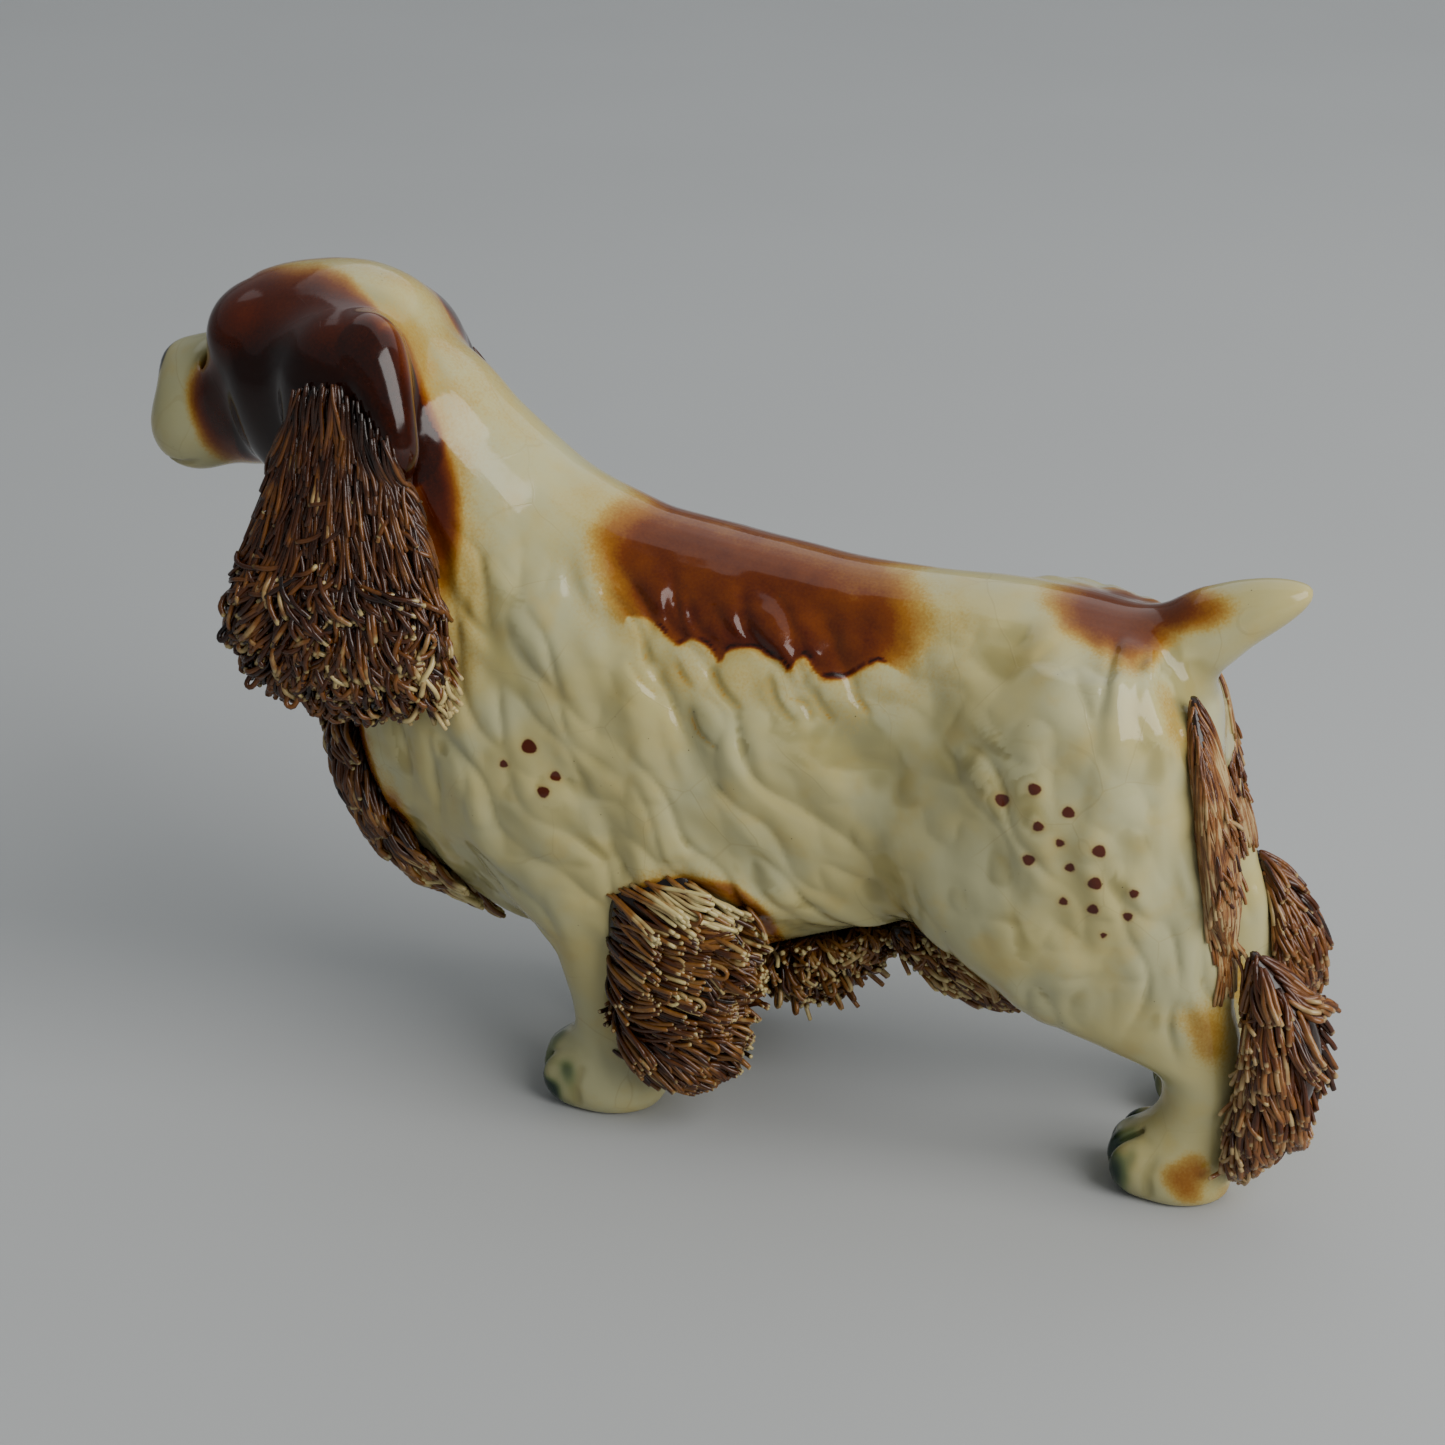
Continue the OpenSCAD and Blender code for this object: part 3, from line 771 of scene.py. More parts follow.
def comb(bed, roots, lie, length, lift, rng, steps, curl, wave, scatter, hold=0.5):
    """Strands laid over the clay from their roots. lie gives the way to run at any place, lift is how
    far the strand stands off from root to tip, curl turns it aside, scatter gives each its own way
    and hold keeps it to the lie."""
    n = len(roots)
    lift = np.interp(np.linspace(0, 1, steps), np.linspace(0, 1, len(lift)), lift)
    lift = lift[None, :] * rng.uniform(0.55, 1.35, n)[:, None]
    p = bed.on_skin(roots)
    p = p + bed.outward(p) * lift[:, :1]
    step = (np.broadcast_to(length, n) * rng.uniform(0.8, 1.15, n) / (steps - 1))[:, None]
    bend = rng.normal(0, curl, (n, 1))
    phase = rng.uniform(0, 2 * math.pi, n)
    own = rng.normal(0, scatter, (n, 3))
    heading = unit(lie(p) + own)
    path = [p]
    for i in range(1, steps):
        out = bed.outward(p)
        heading = unit(heading * (1 - hold) + unit(unit(lie(p)) + own) * hold)
        aside = np.cross(out, heading)
        sway = wave * np.sin(phase + i * 1.1)[:, None]
        heading = unit(heading + aside * (bend * step * 0.12 + sway))
        p = p + heading * step
        d = bed.at(p)
        p = p + bed.outward(p) * np.clip(lift[:, i] - d, -1.2, 2.5)[:, None]
        path.append(p)
    return smoothed(np.stack(path, 1))


def smoothed(paths):
    """Evens out kinks along each strand, leaving its ends where they are."""
    p = paths.copy()
    p[:, 1:-1] = 0.25 * p[:, :-2] + 0.5 * p[:, 1:-1] + 0.25 * p[:, 2:]
    return p


def gathered(paths, locks, pull, rng):
    """The strands drawn together towards the nearest of a few leading ones."""
    lead = rng.choice(len(paths), min(locks, len(paths)), replace=False)
    k = paths.shape[1]
    middle = paths[:, k // 3]
    nearest = lead[((middle[:, None] - middle[lead][None]) ** 2).sum(-1).argmin(1)]
    t = np.linspace(0, 1, k) ** 1.2 * pull
    return paths + (paths[nearest] - paths) * t[None, :, None]


def loops(bed, places, lie, rng, across, drop, steps=12):
    """Strands that turn back on themselves in a small U."""
    p = bed.on_skin(places)
    out = bed.outward(p)
    along = unit(lie(p))
    aside = np.cross(out, along)
    t = np.linspace(0, 1, steps)[None, :, None]
    size = rng.uniform(0.7, 1.3, (len(p), 1, 1))
    swing = np.where(t < 0.62, np.sin(t / 0.62 * math.pi / 2), 1 - 0.9 * ((t - 0.62) / 0.38) ** 2)
    return (p[:, None] + along[:, None] * drop * size * swing
            + aside[:, None] * across * size * smoothstep(0.35, 0.85, t)
            + out[:, None] * (0.8 + 1.2 * np.sin(t * math.pi)))


class Fringe:
    """The strands of one fringe and the packed clay under them, as one mesh."""

    def __init__(self, name, bed, form, rng):
        self.name, self.bed, self.form, self.rng = name, bed, form, rng
        self.points, self.faces = [], []
        self.values = {"tone": [], "tip": [], "along": []}
        self.count = 0
        points, faces = loft(core_of(form), 32, 4)
        self._put(bed.world(points), faces, np.full(len(points), -0.75), np.zeros(len(points)),
                  np.zeros(len(points)), flip=bed.side < 0)

    def _put(self, points, faces, tone, tip, along, flip):
        self.points.append(points)
        self.faces.append((faces[:, ::-1] if flip else faces) + self.count)
        self.count += len(points)
        for key, value in (("tone", tone), ("tip", tip), ("along", along)):
            self.values[key].append(value)

    def roots(self, count, keep=None, sunk=1.0):
        """Root places on the fringe's own clay, no further than sunk under the skin."""
        p = roots_on(core_of(self.form), count, self.rng)
        ok = self.bed.at(p) > -sunk
        if keep is not None:
            ok &= keep(p)
        return p[ok]

    def add(self, paths, width, tip, tone, mixed=0.34):
        """Adds a tube along each path. tip is how far the pale end shows, tone is dark to light and
        mixed how much it varies."""
        n, k, _ = paths.shape
        rng, sides = self.rng, STRAND_SIDES
        widths = width * rng.uniform(0.85, 1.15, n)
        paths = paths.copy()
        paths[..., 2] = np.maximum(paths[..., 2], 0.7 * width)
        tangent = unit(np.gradient(paths, axis=1))
        across = unit(np.cross(tangent, np.array([0.31, 0.17, 0.93])))
        over = np.cross(tangent, across)
        a = np.arange(sides) * 2 * math.pi / sides
        radius = 0.5 * widths[:, None] * np.r_[0.7, np.ones(k - 2), 0.92][None, :]
        spokes = (np.cos(a)[:, None] * across[:, :, None, :] + np.sin(a)[:, None] * over[:, :, None, :])
        rings = paths[:, :, None, :] + radius[:, :, None, None] * spokes
        ends = np.stack([paths[:, 0] - tangent[:, 0] * radius[:, :1] * 0.5,
                         paths[:, -1] + tangent[:, -1] * radius[:, -1:] * 0.5], 1)
        points = np.concatenate([rings.reshape(n, -1, 3), ends], 1).reshape(-1, 3)
        per = k * sides + 2
        one = tube_faces(k, sides)
        faces = (one[None] + (np.arange(n) * per)[:, None, None]).reshape(-1, 3)
        along = np.concatenate([np.repeat(np.linspace(0, 1, k), sides), [0, 1.15]])
        tones = np.clip(rng.normal(0, mixed, n) + tone, -1, 1)
        tips = np.broadcast_to(tip, n) * rng.uniform(0.3, 1.4, n)
        self._put(self.bed.world(points), faces, np.repeat(tones, per), np.repeat(tips, per),
                  np.tile(along, n), flip=self.bed.side < 0)

    def lay(self, roots, lie, length, lift, steps, width, tip, tone, locks=0, pull=0.0, mixed=0.34, **ways):
        """Combs strands from the roots, draws them into locks, and adds them."""
        paths = comb(self.bed, roots, lie, length, lift, self.rng, steps, **ways)
        if locks:
            paths = gathered(paths, locks, pull, self.rng)
        self.add(paths, width, tip, tone, mixed)

    def add_loops(self, places, lie, across, drop, width, tip, tone):
        self.add(loops(self.bed, places, lie, self.rng, across, drop), width, tip, tone)

    def build(self, material):
        values = {key: np.concatenate(v) for key, v in self.values.items()}
        return new_object(self.name + "_strands", np.concatenate(self.points),
                          np.concatenate(self.faces), material, values)


# Fringe stations, the same as in the part's own source
EAR_UPPER = [
    [0, -87, 187, 2, 8, 0], [2, -86, 179, 3, 13.5, 0], [5, -84, 166, 4.2, 19, 0],
    [7.5, -84, 152, 5.4, 23.5, 0], [9, -85, 141, 5.4, 25, 0], [9, -85, 134, 3.6, 22, 0],
]
EAR_LOWER = [
    [8, -85, 152, 4, 22, 0], [9.5, -85.5, 142, 6.5, 26.5, 0], [10.5, -85.5, 132, 8, 28.5, 0],
    [10.5, -84, 122, 8.2, 26.5, 0], [10, -82, 115, 7, 22, 0], [9.5, -81, 110, 4, 16, 0],
]
CHEST_FRINGE = [
    [0, -88, 113, 10, 6, 0], [0, -91.5, 102, 17, 10.5, 0], [0, -91.5, 90, 21, 14.5, 0],
    [0, -86.5, 76, 22.5, 15, 0], [0, -80, 64, 21.5, 14.5, 0], [0, -74.5, 55, 18, 12, 0],
    [0, -70.5, 49, 12, 8.5, 0], [0, -68.5, 46, 6, 5, 0],
]
BELLY_FRINGE = [
    [0, 4, 42, 6, 5, 90], [0, 12, 40, 12, 9, 90], [0, 23, 38.5, 15, 13, 90],
    [0, 34, 43, 14, 11.5, 90], [0, 44, 50, 11, 8, 90], [0, 51, 54, 5, 4.5, 90],
]
FORE_FRINGE = [
    [13, -4, 77, 3, 7, 0], [14.5, -5, 70, 5.5, 14, 0], [13.5, -4, 60, 8.5, 18, 0],
    [12.5, -2, 50, 10, 20, 0], [12.5, -2.5, 39, 10.5, 18.5, 0], [12.5, -2.5, 28, 10, 17, 0],
    [12.5, -2, 19, 8.5, 14, 0], [12.5, -1, 13, 5, 9, 0],
]
FLANK_FRINGE = [
    [-7, 47, 56, 3, 4, 90], [-7, 56, 51.5, 5, 8, 90], [-7, 66, 48, 6, 9.5, 90],
    [-6, 75, 45, 5, 8, 90], [-5, 81, 42, 2.5, 4, 90],
]
THIGH_FRINGE = [
    [0, 119, 132, 4, 3, 0], [1, 121.5, 124, 8, 5, 0], [1.5, 124.5, 112, 11, 6, 0],
    [2, 127, 100, 12.5, 6.5, 0], [3, 128.5, 90, 12, 6.5, 0], [5, 130.5, 80, 10.5, 6, 0],
    [6.5, 132.5, 71, 8, 5.5, 0],
]
HOCK_FRINGE = [
    [7, 138, 72, 4, 3.5, 0], [7, 143, 64, 7, 7, 0], [7, 147, 54, 9, 10, 0],
    [7, 148, 44, 10, 11, 0], [7, 146.5, 33, 10.5, 10.5, 0], [7, 143.5, 22, 10, 9, 0],
    [7, 140.5, 14.5, 8, 6, 0], [7, 139, 10, 5, 3.5, 0],
]


def direction(x, y, z):
    """Ways to run, from parts that are numbers or one value per place."""
    return np.stack(np.broadcast_arrays(np.asarray(x, float), y, z), -1)


def strand_ear_upper(fringe):
    """Long ridges of strands stuck together, from the smooth root of the ear to its curls."""
    rng, bed = fringe.rng, fringe.bed

    def lie(p):
        return direction(0.05, 0.34 * (p[:, 1] + 85) / 20, -np.ones(len(p)))
    columns, rows, each = 11, 8, 10
    c, r, _ = (v.ravel() for v in np.meshgrid(np.arange(columns), np.arange(rows), np.arange(each)))
    n = len(c)
    across = (c + 0.5) / columns * 2 - 1 + rng.normal(0, 0.012, n)
    z = 189 - 4.8 * r + rng.uniform(-3, 3, n) - 10 * np.clip(across, 0, 1) - 2 * across ** 2
    spread = np.interp(z, [134, 141, 152, 166, 179, 189], [22, 25, 23.5, 19.5, 15.5, 13])
    aside = rng.normal(0, 0.62, n)
    roots = np.stack([np.full(n, EAR_X + 8.0), -85 + across * spread + aside, z], -1)
    paths = comb(bed, roots, lie, 16, [0.1, 0.9, 1.0, 1.3], rng, 11, curl=0.3, wave=0.08, scatter=0.06)
    ridge = bed.outward(paths.reshape(-1, 3)).reshape(paths.shape)
    paths = paths + ridge * (1.9 - 1.9 * np.abs(aside)).clip(-0.6, 1.9)[:, None, None]
    # the strands on each ridge's crest are painted lighter, a painted highlight along the ridges
    fringe.add(paths, 1.15, 0.06, -0.40 + 0.30 * (np.abs(aside) < 0.35), mixed=0.2)
    edge = fringe.roots(1500, lambda p: (p[:, 0] > EAR_X) & (p[:, 2] > 142) & (p[:, 2] < 172))[:90]
    fringe.lay(edge, lie, 10, [0.8, 2.2, 2.8], 8, 1.2, 0.2, -0.05, curl=1.6, wave=0.2, scatter=0.35)


def strand_ear_lower(fringe):
    """Tiers of thick short curls that bulge out and turn under, with their cut ends showing."""
    def lie(p):
        return direction(0.12, 0.60 * (p[:, 1] + 83) / 26, -np.ones(len(p)))
    for top, length, tip, tone in ((150, 15, 0.5, -0.15), (143, 14, 0.6, -0.1), (136, 12.5, 0.8, -0.05),
                                   (129, 11.5, 0.9, 0.0), (122, 10.5, 0.9, 0.05), (115, 9.5, 0.9, 0.1)):
        roots = fringe.roots(3400, lambda p: np.abs(p[:, 2] - top) < 3.4)[:190]
        fringe.lay(roots, lie, length, [0.2, 2.2, 3.4, 2.6], 10, 1.38, tip, tone, 44, 0.5,
                   curl=1.3, wave=0.10, scatter=0.12, hold=0.2)
    places = fringe.roots(900, lambda p: (p[:, 0] > EAR_X + 8) & (p[:, 2] > 118))[:30]
    fringe.add_loops(places, lie, 2.6, 5, 1.3, 0.3, 0.1)
    rear = fringe.roots(1500, lambda p: (p[:, 1] > -64) & (p[:, 2] < 130) & (p[:, 0] > EAR_X))[:46]
    fringe.lay(rear, lie, 12, [0.6, 2.4, 3.4, 3.0], 10, 1.35, 1.2, 0.75, curl=1.2, wave=0.12, scatter=0.2)


def strand_fore(fringe):
    """Strands swept back round the foreleg, cream at the top and olive at the foot."""
    def lie(p):
        drop = 0.10 + 0.80 * smoothstep(36, 12, p[:, 2]) + 0.45 * smoothstep(60, 74, p[:, 2])
        return direction(0.06, 1.0, -drop)
    roots = fringe.roots(8000)
    row = np.round((roots[:, 1] + 26) / 9.5) * 9.5 - 26
    near_row = fringe.rng.random(len(roots)) < 0.4
    roots[:, 1] = np.where(near_row, row + fringe.rng.normal(0, 1.6, len(roots)), roots[:, 1])
    roots = roots[:1150]
    height = roots[:, 2]
    tone = 0.80 * smoothstep(60, 72, height) + 0.22 * smoothstep(24, 14, height) - 0.10
    fringe.lay(roots, lie, 14.5, [0.1, 0.9, 2.0, 3.2], 10, 1.22, 0.18 + 0.8 * smoothstep(56, 70, height),
               tone, 120, 0.5, curl=0.6, wave=0.08, scatter=0.06, hold=0.4)
    rear = fringe.roots(2400, lambda p: (p[:, 1] > 7) & (p[:, 0] > LEG_X + 6))[:130]
    fringe.lay(rear, lie, 11, [0.2, 2.5, 4.5, 6.0], 9, 1.22, 0.4, 0.0, 26, 0.65,
               curl=0.8, wave=0.1, scatter=0.2)
    places = fringe.roots(600, lambda p: (p[:, 0] > LEG_X + 18) & (p[:, 1] < 8))[:16]
    fringe.add_loops(places, lie, 2.6, 6, 1.2, 0.3, 0.3)


def strand_hock(fringe):
    """Thick glossy strands fanning down and back from a narrow top."""
    def lie(p):
        back = (p[:, 1] - 128) * smoothstep(2, 46, p[:, 2])
        return direction(0.06 * (p[:, 0] - 27), back, np.minimum(p[:, 2] - 98, -34))
    roots = fringe.roots(7600)[:900]
    length = 11.5 * np.clip((roots[:, 2] - 4) / 18, 0.25, 1)
    fringe.lay(roots, lie, length, [0.2, 1.0, 1.8, 2.2], 10, 1.4, 0.4, 0.0, 90, 0.5,
               curl=0.5, wave=0.10, scatter=0.06, hold=0.35)
    front = fringe.roots(1500, lambda p: (p[:, 1] < 142) & (p[:, 0] > 28) & (p[:, 2] < 58))[:90]
    fringe.lay(front, lie, 8, [0.6, 2.0, 2.6], 8, 1.15, 1.0, 0.45, curl=1.6, wave=0.15, scatter=0.4)
    inner = fringe.roots(6000, lambda p: (p[:, 0] < LEG_X + 4) & (p[:, 1] > 138), sunk=3.6)[:190]
    fringe.lay(inner, lie, 9, [0.3, 1.2, 1.8], 8, 1.4, 0.4, 0.0, curl=0.6, wave=0.1, scatter=0.1)


def strand_thigh(fringe):
    """Fine flat striations down the back of the thigh."""
    def lie(p):
        return direction(0.0, 0.24, -np.ones(len(p)))
    fringe.lay(fringe.roots(9000)[:1050], lie, 17, [0.0, 0.3, 0.4, 0.4], 10, 0.85, 0.12, 0.46, 170, 0.4,
               mixed=0.30, curl=0.2, wave=0.05, scatter=0.03)
    edge = fringe.roots(2600, lambda p: (p[:, 1] > 128) & (p[:, 2] > 84))[:60]
    fringe.lay(edge, lie, 6, [0.3, 1.2, 1.8], 8, 0.95, 0.3, 0.1, curl=1.2, wave=0.12, scatter=0.2)


def strand_chest(fringe):
    """A bib of curved tufts, dark at the top and olive cream at the tip."""
    def lie(p):
        back = 0.15 + 0.55 * smoothstep(90, 52, p[:, 2])
        return direction(0.014 * p[:, 0], back, -np.ones(len(p)))
    roots = fringe.roots(9000)[:1000]
    low = smoothstep(78, 56, roots[:, 2])
    fringe.lay(roots, lie, 15, [0.2, 1.8, 3.6, 3.0], 11, 1.45, 0.3 + 0.6 * low, -0.12 + 0.62 * low,
               66, 0.62, curl=1.2, wave=0.14, scatter=0.16)


def strand_belly(fringe):
    """A mop of short curls under the belly."""
    def lie(p):
        return direction(0.05 * p[:, 0], 0.04 * (p[:, 1] - 20) + 0.3, -0.75 * np.ones(len(p)))
    fringe.lay(fringe.roots(6000)[:700], lie, 10, [0.3, 1.8, 3.0, 3.4], 10, 1.25, 0.5, 0.12, 80, 0.4,
               curl=3.0, wave=0.3, scatter=0.4)
    fringe.add_loops(fringe.roots(600, lambda p: p[:, 2] < 44)[:30], lie, 2.4, 5, 1.2, 0.5, 0.4)


def strand_flank(fringe):
    """A flat bundle along the fold of the flank, curled at its front end."""
    def lie(p):
        return direction(0.0, 0.85, -0.5 * np.ones(len(p)))
    fringe.lay(fringe.roots(2600)[:300], lie, 12, [0.2, 0.9, 1.4, 1.8], 9, 1.2, 0.5, 0.18, 40, 0.45,
               curl=0.8, wave=0.12, scatter=0.12)
    front = fringe.roots(1500, lambda p: p[:, 1] < 60)[:60]
    fringe.lay(front, lie, 8, [0.4, 1.8, 2.8], 9, 1.15, 0.8, 0.35, curl=3.5, wave=0.3, scatter=0.6)


def make_fringes(clay, glazes):
    """Every fringe, grown over the castings with all the fringes' own clay in place."""
    plan = [("chest_fringe", 1, CHEST_FRINGE, 0, 0, strand_chest, "golden"),
            ("belly_fringe", 1, BELLY_FRINGE, 0, 0, strand_belly, "golden")]
    for name, side in SIDES:
        for part, form, x, shift, strands, glaze in (
                ("ear_upper", EAR_UPPER, EAR_X, RIGHT_EAR_SHIFT, strand_ear_upper, "brown"),
                ("ear_lower", EAR_LOWER, EAR_X, RIGHT_EAR_SHIFT, strand_ear_lower, "brown"),
                ("fore_leg", FORE_FRINGE, LEG_X, 0, strand_fore, "golden"),
                ("flank", FLANK_FRINGE, LEG_X, 0, strand_flank, "golden"),
                ("thigh", THIGH_FRINGE, LEG_X, RIGHT_REAR_SHIFT, strand_thigh, "rust"),
                ("hock", HOCK_FRINGE, LEG_X, RIGHT_REAR_SHIFT, strand_hock, "rust")):
            plan.append((f"{name}_{part}_fringe", side, form, x, shift, strands, glaze))
    for name, side, form, x, shift, _, _ in plan:
        clay.add_loft(placed(core_of(placed(form, x)), 0, side, shift), 0, 1.0)
    made = {}
    for seed, (name, side, form, x, shift, strands, glaze) in enumerate(plan):
        rng = np.random.default_rng(seed + FIRST_SEED)
        fringe = Fringe(name, Bed(clay, side, shift), placed(form, x), rng)
        strands(fringe)
        made[name] = fringe.build(glazes[glaze])
    return made


# ---------------------------------------------------------------- materials

def node_tree(name):
    material = bpy.data.materials.new(name)
    material.use_nodes = True
    tree = material.node_tree
    tree.nodes.clear()
    output = tree.nodes.new("ShaderNodeOutputMaterial")
    shader = tree.nodes.new("ShaderNodeBsdfPrincipled")
    tree.links.new(shader.outputs[0], output.inputs[0])
    return material, tree, shader


class Nodes:
    """Short ways to add and join shader nodes."""

    def __init__(self, tree):
        self.tree = tree

    def link(self, source, socket):
        if isinstance(source, (int, float, tuple, list)):
            socket.default_value = source
        else:
            self.tree.links.new(source, socket)

    def make(self, kind, inputs):
        """A node with each of its inputs set or linked, by name or number."""
        node = self.tree.nodes.new("ShaderNode" + kind)
        self.set_all(node, inputs)
        return node

    def set_all(self, node, inputs):
        for key, value in inputs.items():
            self.link(value, node.inputs[key])

    def attribute(self, name):
        node = self.make("Attribute", {})
        node.attribute_name = name
        return node.outputs["Fac"]

    def place(self):
        return self.make("TexCoord", {}).outputs["Object"]

    def noise(self, scale, detail):
        inputs = {"Vector": self.place(), "Scale": scale, "Detail": detail}
        return self.make("TexNoise", inputs).outputs["Fac"]

    def uneven(self, scale, detail, amount):
        """Noise that swings to either side of 0."""
        return self.math("MULTIPLY", self.math("SUBTRACT", self.noise(scale, detail), 0.5), amount)

    def cells(self, scale, feature, place):
        node = self.make("TexVoronoi", {"Vector": place, "Scale": scale})
        node.feature = feature
        return node.outputs["Distance"]

    def math(self, operation, a, b, clamp=False):
        node = self.make("Math", {0: a, 1: b})
        node.operation = operation
        node.use_clamp = clamp
        return node.outputs[0]

    def ramp(self, source, stops):
        node = self.make("ValToRGB", {"Fac": source})
        elements = node.color_ramp.elements
        while len(elements) < len(stops):
            elements.new(0.5)
        for element, (position, colour) in zip(elements, stops):
            element.position = position
            element.color = (*colour, 1.0)
        return node.outputs["Color"]

    def span(self, source, low, high, out_low=0.0, out_high=1.0):
        node = self.make("MapRange", {"Value": source, "From Min": low, "From Max": high,
                                      "To Min": out_low, "To Max": out_high})
        node.interpolation_type = "SMOOTHSTEP"
        return node.outputs["Result"]

    def mix(self, factor, a, b):
        node = self.make("Mix", {"Factor": factor})
        node.data_type = "RGBA"
        colours = [socket for socket in node.inputs if socket.type == "RGBA"]
        for value, socket in ((a, colours[0]), (b, colours[1])):
            self.link((*value, 1.0) if isinstance(value, tuple) else value, socket)
        return [socket for socket in node.outputs if socket.type == "RGBA"][0]

    def bump(self, height, strength, distance, under=None):
        inputs = {"Strength": strength, "Distance": distance, "Height": height}
        if under is not None:
            inputs["Normal"] = under
        return self.make("Bump", inputs).outputs["Normal"]


CREAM = (0.475, 0.415, 0.178)
CREAM_COOL = (0.435, 0.415, 0.225)
CREAM_WARM = (0.47, 0.36, 0.115)
# the olive of the shade painted into hollows
OLIVE_SHADE = (0.20, 0.165, 0.042)
CRAZE_LINE = (0.34, 0.28, 0.12)
SPOT_HALO = (0.38, 0.22, 0.05)
SPOT_BROWN = (0.075, 0.012, 0.0025)
GREEN_THIN = (0.12, 0.16, 0.06)
GREEN_DEEP = (0.008, 0.026, 0.016)
NOSE_BLACK = (0.006, 0.008, 0.012)
IRON_SPECK = (0.04, 0.025, 0.012)
# The spray from its thinnest to its thickest: cream, ochre, orange, red-brown, nearly black
SPRAY = [
    (0.0, (0.50, 0.39, 0.12)), (0.18, (0.42, 0.27, 0.055)), (0.36, (0.27, 0.105, 0.010)),
    (0.55, (0.14, 0.030, 0.0016)), (0.78, (0.062, 0.0080, 0.0005)), (1.0, (0.013, 0.002, 0.0004)),
]
SKIN_GLOSS = {"IOR": 1.4, "Coat Weight": 0.1, "Coat Roughness": 0.04}
STRAND_GLOSS = {"IOR": 1.45, "Coat Weight": 0.15, "Coat Roughness": 0.08}
# The colours of each kind of strand, from the dark at the roots, where the glaze pooled and shade deep in the
# fringe is painted in, to the worn tips
STRAND_COLOURS = {
    "brown": ((0.008, 0.0024, 0.0007), (0.046, 0.0112, 0.0014), (0.165, 0.058, 0.0095), (0.50, 0.39, 0.17)),
    "golden": ((0.010, 0.0032, 0.0008), (0.066, 0.0175, 0.0018), (0.22, 0.090, 0.015), (0.52, 0.43, 0.19)),
    "rust": ((0.016, 0.0045, 0.0012), (0.078, 0.0195, 0.0036), (0.25, 0.100, 0.026), (0.46, 0.33, 0.15)),
}


def glazed_skin():
    """Cream glaze with airbrushed brown, crisp spots, green pools, crazing and iron specks, with olive shade
    painted into the hollows.
    """
    material, tree, shader = node_tree("glazed_skin")
    n = Nodes(tree)
    base = n.mix(n.span(n.noise(38, 3), 0.38, 0.64), CREAM, CREAM_COOL)
    base = n.mix(n.math("MULTIPLY", n.span(n.noise(90, 4), 0.5, 0.72), 0.5), base, CREAM_WARM)
    # painted shade: the cream darkens towards olive in hollows
    hollow = n.span(n.attribute("hollow"), 0.02, 0.7)
    base = n.mix(n.math("MULTIPLY", hollow, 0.5), base, OLIVE_SHADE)
    # crazing: thin bent lines along the edges of large cells
    bend = n.make("TexNoise", {"Vector": n.place(), "Scale": 60}).outputs["Color"]
    warp = n.make("VectorMath", {0: bend, 1: (0.005, 0.005, 0.005), 2: n.place()})
    warp.operation = "MULTIPLY_ADD"
    craze = n.span(n.cells(46, "DISTANCE_TO_EDGE", warp.outputs[0]), 0.004, 0.012, 1.0, 0.0)
    craze = n.math("MULTIPLY", craze, n.span(n.noise(28, 2), 0.45, 0.6))
    base = n.mix(n.math("MULTIPLY", craze, 0.28), base, CRAZE_LINE)
    specks = n.span(n.cells(420, "F1", n.place()), 0.045, 0.10, 1.0, 0.0)
    specks = n.math("MULTIPLY", specks, n.span(n.noise(160, 1), 0.62, 0.68))
    grain = n.uneven(1400, 2, 0.16)
    patchy = n.uneven(110, 4, 0.16)
    spray = n.math("ADD", n.attribute("spray"), n.math("ADD", grain, patchy))
    colour = n.mix(n.span(spray, 0.03, 0.24), base, n.ramp(spray, SPRAY))
    halo = n.span(n.attribute("spots"), 0.0, 1.3, 0.30, 0.0)
    colour = n.mix(halo, colour, SPOT_HALO)
    spot = n.span(n.attribute("spots"), -0.25, 0.30, 1.0, 0.0)
    colour = n.mix(spot, colour, SPOT_BROWN)
    green = n.attribute("green")
    colour = n.mix(n.span(green, 0.05, 0.6, 0.0, 0.9), colour, GREEN_THIN)
    colour = n.mix(n.span(green, 0.35, 1.0), colour, GREEN_DEEP)
    colour = n.mix(n.attribute("dark"), colour, NOSE_BLACK)
    colour = n.mix(n.math("MULTIPLY", specks, 0.75), colour, IRON_SPECK)
    n.link(colour, shader.inputs["Base Color"])
    rough = n.math("ADD", n.math("MULTIPLY", n.noise(70, 4), 0.12), 0.07)
    n.link(rough, shader.inputs["Roughness"])
    n.set_all(shader, SKIN_GLOSS)
    ripple = n.bump(n.noise(110, 3), 0.22, 0.0006)
    n.link(n.bump(craze, 0.12, 0.0002, ripple), shader.inputs["Normal"])
    return material


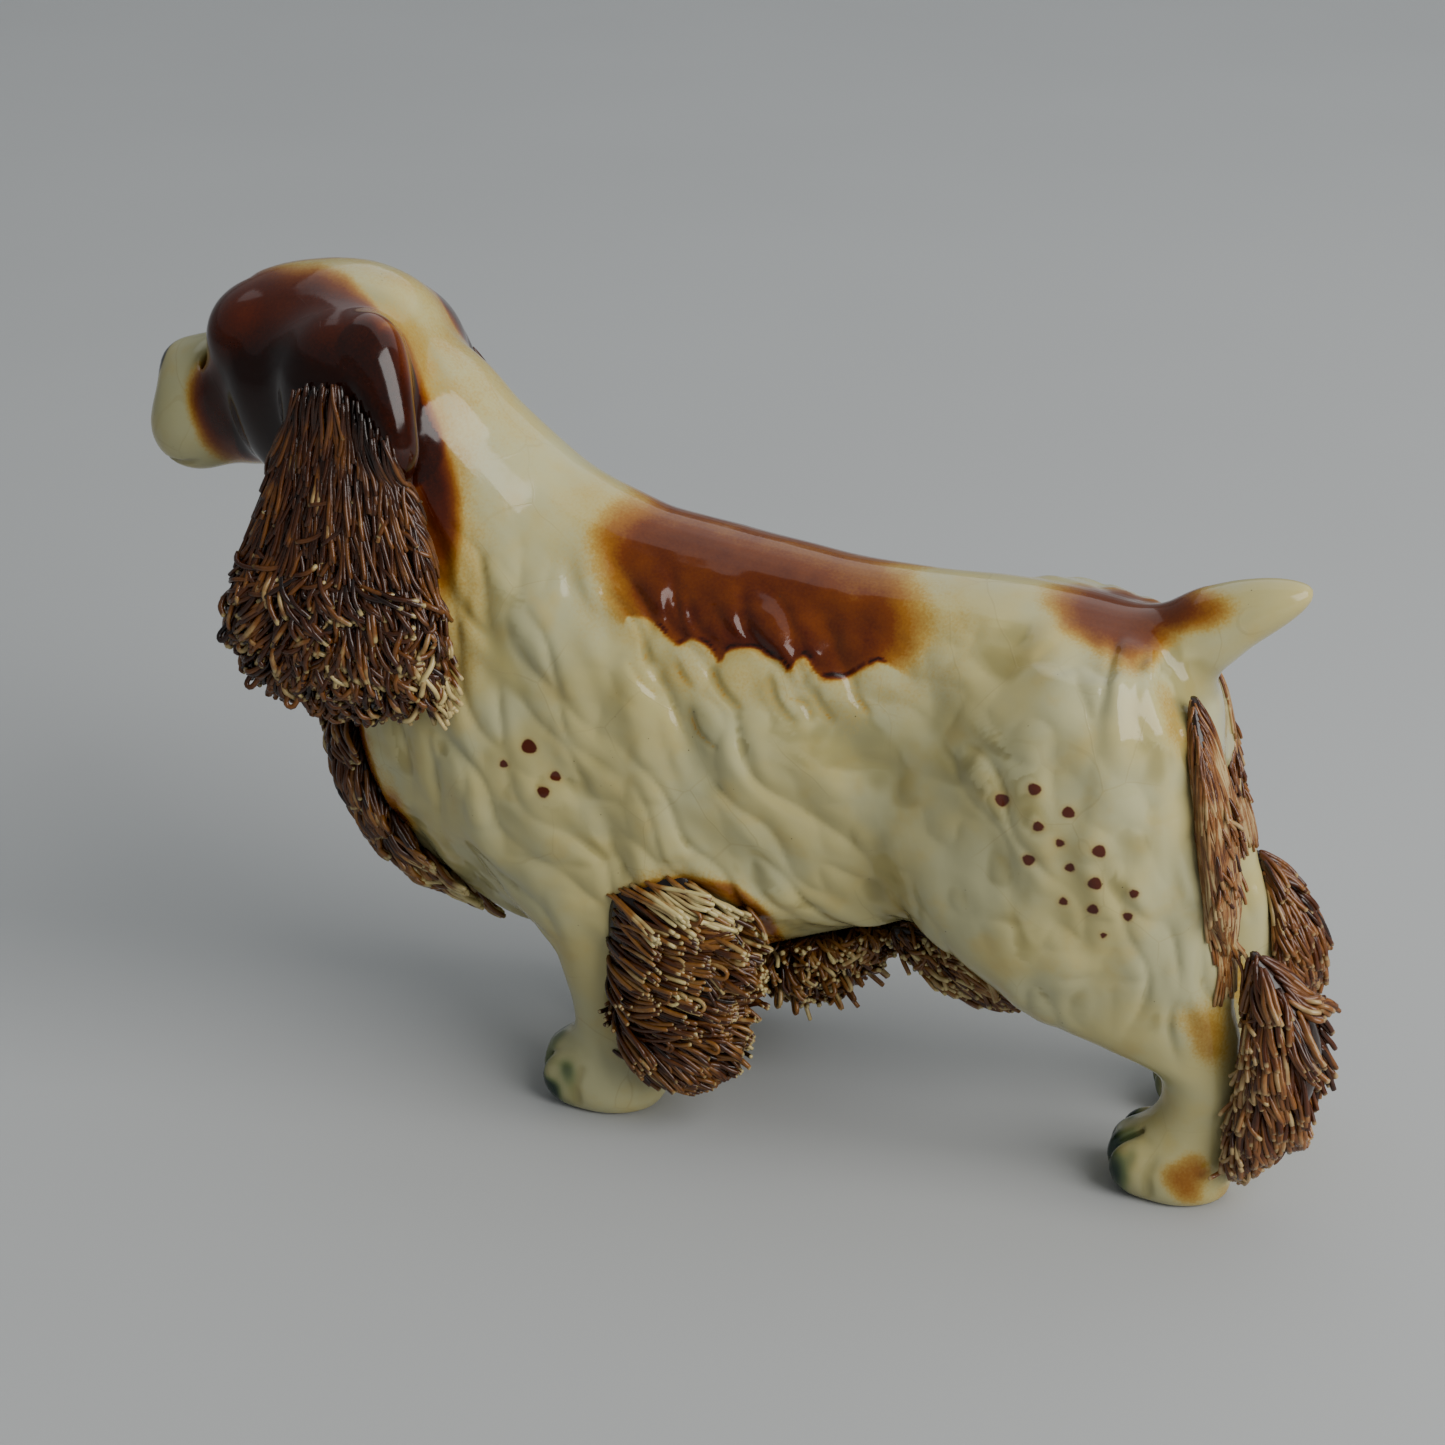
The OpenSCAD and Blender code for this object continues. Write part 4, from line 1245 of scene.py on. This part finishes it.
def strand_glaze(name, dark, mid, light, cream):
    """Glaze on strands: dark at their roots, where the glaze pooled and shade deep in the fringe is painted
    in, and worn to cream at the cut tips.
    """
    material, tree, shader = node_tree(name)
    n = Nodes(tree)
    patch = n.uneven(160, 4, 1.6)
    # each strand darker towards its root: pooled glaze, and painted shade deep in the fringe
    tone = n.math("ADD", n.math("ADD", n.attribute("tone"), patch),
                  n.span(n.attribute("along"), 0.0, 0.8, -0.34, 0.12))
    body = n.ramp(n.math("ADD", n.math("MULTIPLY", tone, 0.5), 0.5, clamp=True),
                  [(0.0, dark), (0.42, mid), (0.75, light), (1.0, cream)])
    tip = n.math("ADD", n.attribute("along"), n.math("MULTIPLY", n.attribute("tip"), 0.20))
    tip = n.math("ADD", tip, n.uneven(300, 2, 0.25))
    worn = n.span(tip, 1.0, 1.12)
    worn = n.math("MULTIPLY", worn, n.span(n.attribute("tip"), 0.02, 0.25, 0.0, 0.85))
    n.link(n.mix(worn, body, cream), shader.inputs["Base Color"])
    n.link(n.math("ADD", n.math("MULTIPLY", n.noise(220, 3), 0.20), 0.14), shader.inputs["Roughness"])
    n.set_all(shader, STRAND_GLOSS)
    n.link(n.bump(n.noise(700, 3), 0.35, 0.0004), shader.inputs["Normal"])
    return material


def matte(name, colour, rough):
    material, tree, shader = node_tree(name)
    n = Nodes(tree)
    n.link(n.mix(n.span(n.noise(3, 3), 0.3, 0.7), tuple(c * 0.97 for c in colour), colour),
           shader.inputs["Base Color"])
    n.set_all(shader, {"Roughness": rough, "Specular IOR Level": 0.2})
    return material


# ---------------------------------------------------------------- stage

CAMERA_FROM = (668.3, 204.3, 411.2)
CAMERA_AT = (0.0, 0.0, 100.0)
LENS, SENSOR = 76.2, 36.0
FLOOR_COLOUR = (0.44, 0.45, 0.45)
FLOOR_HALF, FLOOR_RISE = 2.6, 1.6    # the flat part's radius and the sweep's height, in metres
SKY_COLOUR, SKY_STRENGTH = (0.84, 0.88, 0.92, 1), 0.33
# name, place, what it faces, size, power and colour, in metres and watts
LIGHTS = [
    ("window", (0.60, 1.55, 1.15), (0, 0, 0.1), (1.7, 1.7), 52, (1.0, 0.985, 0.96)),
    ("ceiling", (-1.5, 0.2, 1.9), (-0.7, 0, 0), (3.4, 3.0), 22, (0.93, 0.97, 1.0)),
]


def look_at(obj, target):
    way = Vector(target) - obj.location
    obj.rotation_euler = way.to_track_quat("-Z", "Y").to_euler()


def make_camera():
    data = bpy.data.cameras.new("camera")
    data.lens, data.sensor_width = LENS, SENSOR
    data.clip_start, data.clip_end = 0.01, 50
    camera = bpy.data.objects.new("camera", data)
    camera.location = to_metres([CAMERA_FROM])[0]
    bpy.context.scene.collection.objects.link(camera)
    look_at(camera, to_metres([CAMERA_AT])[0])
    bpy.context.scene.camera = camera


def make_light(name, place, target, size, power, colour):
    data = bpy.data.lights.new(name, "AREA")
    data.shape = "RECTANGLE"
    data.size, data.size_y = size
    data.energy = power
    data.color = colour
    light = bpy.data.objects.new(name, data)
    light.location = place
    bpy.context.scene.collection.objects.link(light)
    look_at(light, target)


def make_stage():
    """A pale floor that sweeps up all round, a dim sky, a window and a ceiling panel."""
    half, rise, steps, sides = FLOOR_HALF, FLOOR_RISE, 12, 64
    rings = [(0.0, 0.0)] + [(half + rise * math.sin(a), rise * (1 - math.cos(a)))
                            for a in np.linspace(0, math.pi / 2, steps)]
    points = [[0, 0, 0]]
    for r, z in rings[1:]:
        for i in range(sides):
            a = 2 * math.pi * i / sides
            points.append([r * math.cos(a), r * math.sin(a), z])
    faces = []
    for i in range(sides):
        faces.append([0, 1 + i, 1 + (i + 1) % sides])
    for j in range(len(rings) - 2):
        for i in range(sides):
            a, b = 1 + j * sides + i, 1 + j * sides + (i + 1) % sides
            faces.append([a, a + sides, b + sides])
            faces.append([a, b + sides, b])
    mesh = bpy.data.meshes.new("floor")
    mesh.from_pydata(points, [], faces)
    mesh.polygons.foreach_set("use_smooth", [True] * len(mesh.polygons))
    mesh.materials.append(matte("floor_paper", FLOOR_COLOUR, 0.9))
    floor = bpy.data.objects.new("floor", mesh)
    bpy.context.scene.collection.objects.link(floor)
    world = bpy.data.worlds.new("studio")
    world.use_nodes = True
    sky = world.node_tree.nodes["Background"]
    sky.inputs["Color"].default_value = SKY_COLOUR
    sky.inputs["Strength"].default_value = SKY_STRENGTH
    bpy.context.scene.world = world
    for light in LIGHTS:
        make_light(*light)


# ---------------------------------------------------------------- assembly

make_camera()
make_stage()
clay = make_clay()
castings = casting_pieces(clay, glazed_skin())
for name, piece in castings.items():
    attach(piece, "root")
    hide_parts(name)

glazes = {kind: strand_glaze("strand_" + kind, *colours) for kind, colours in STRAND_COLOURS.items()}
for name, piece in make_fringes(clay, glazes).items():
    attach(piece, "root")
    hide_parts(name)
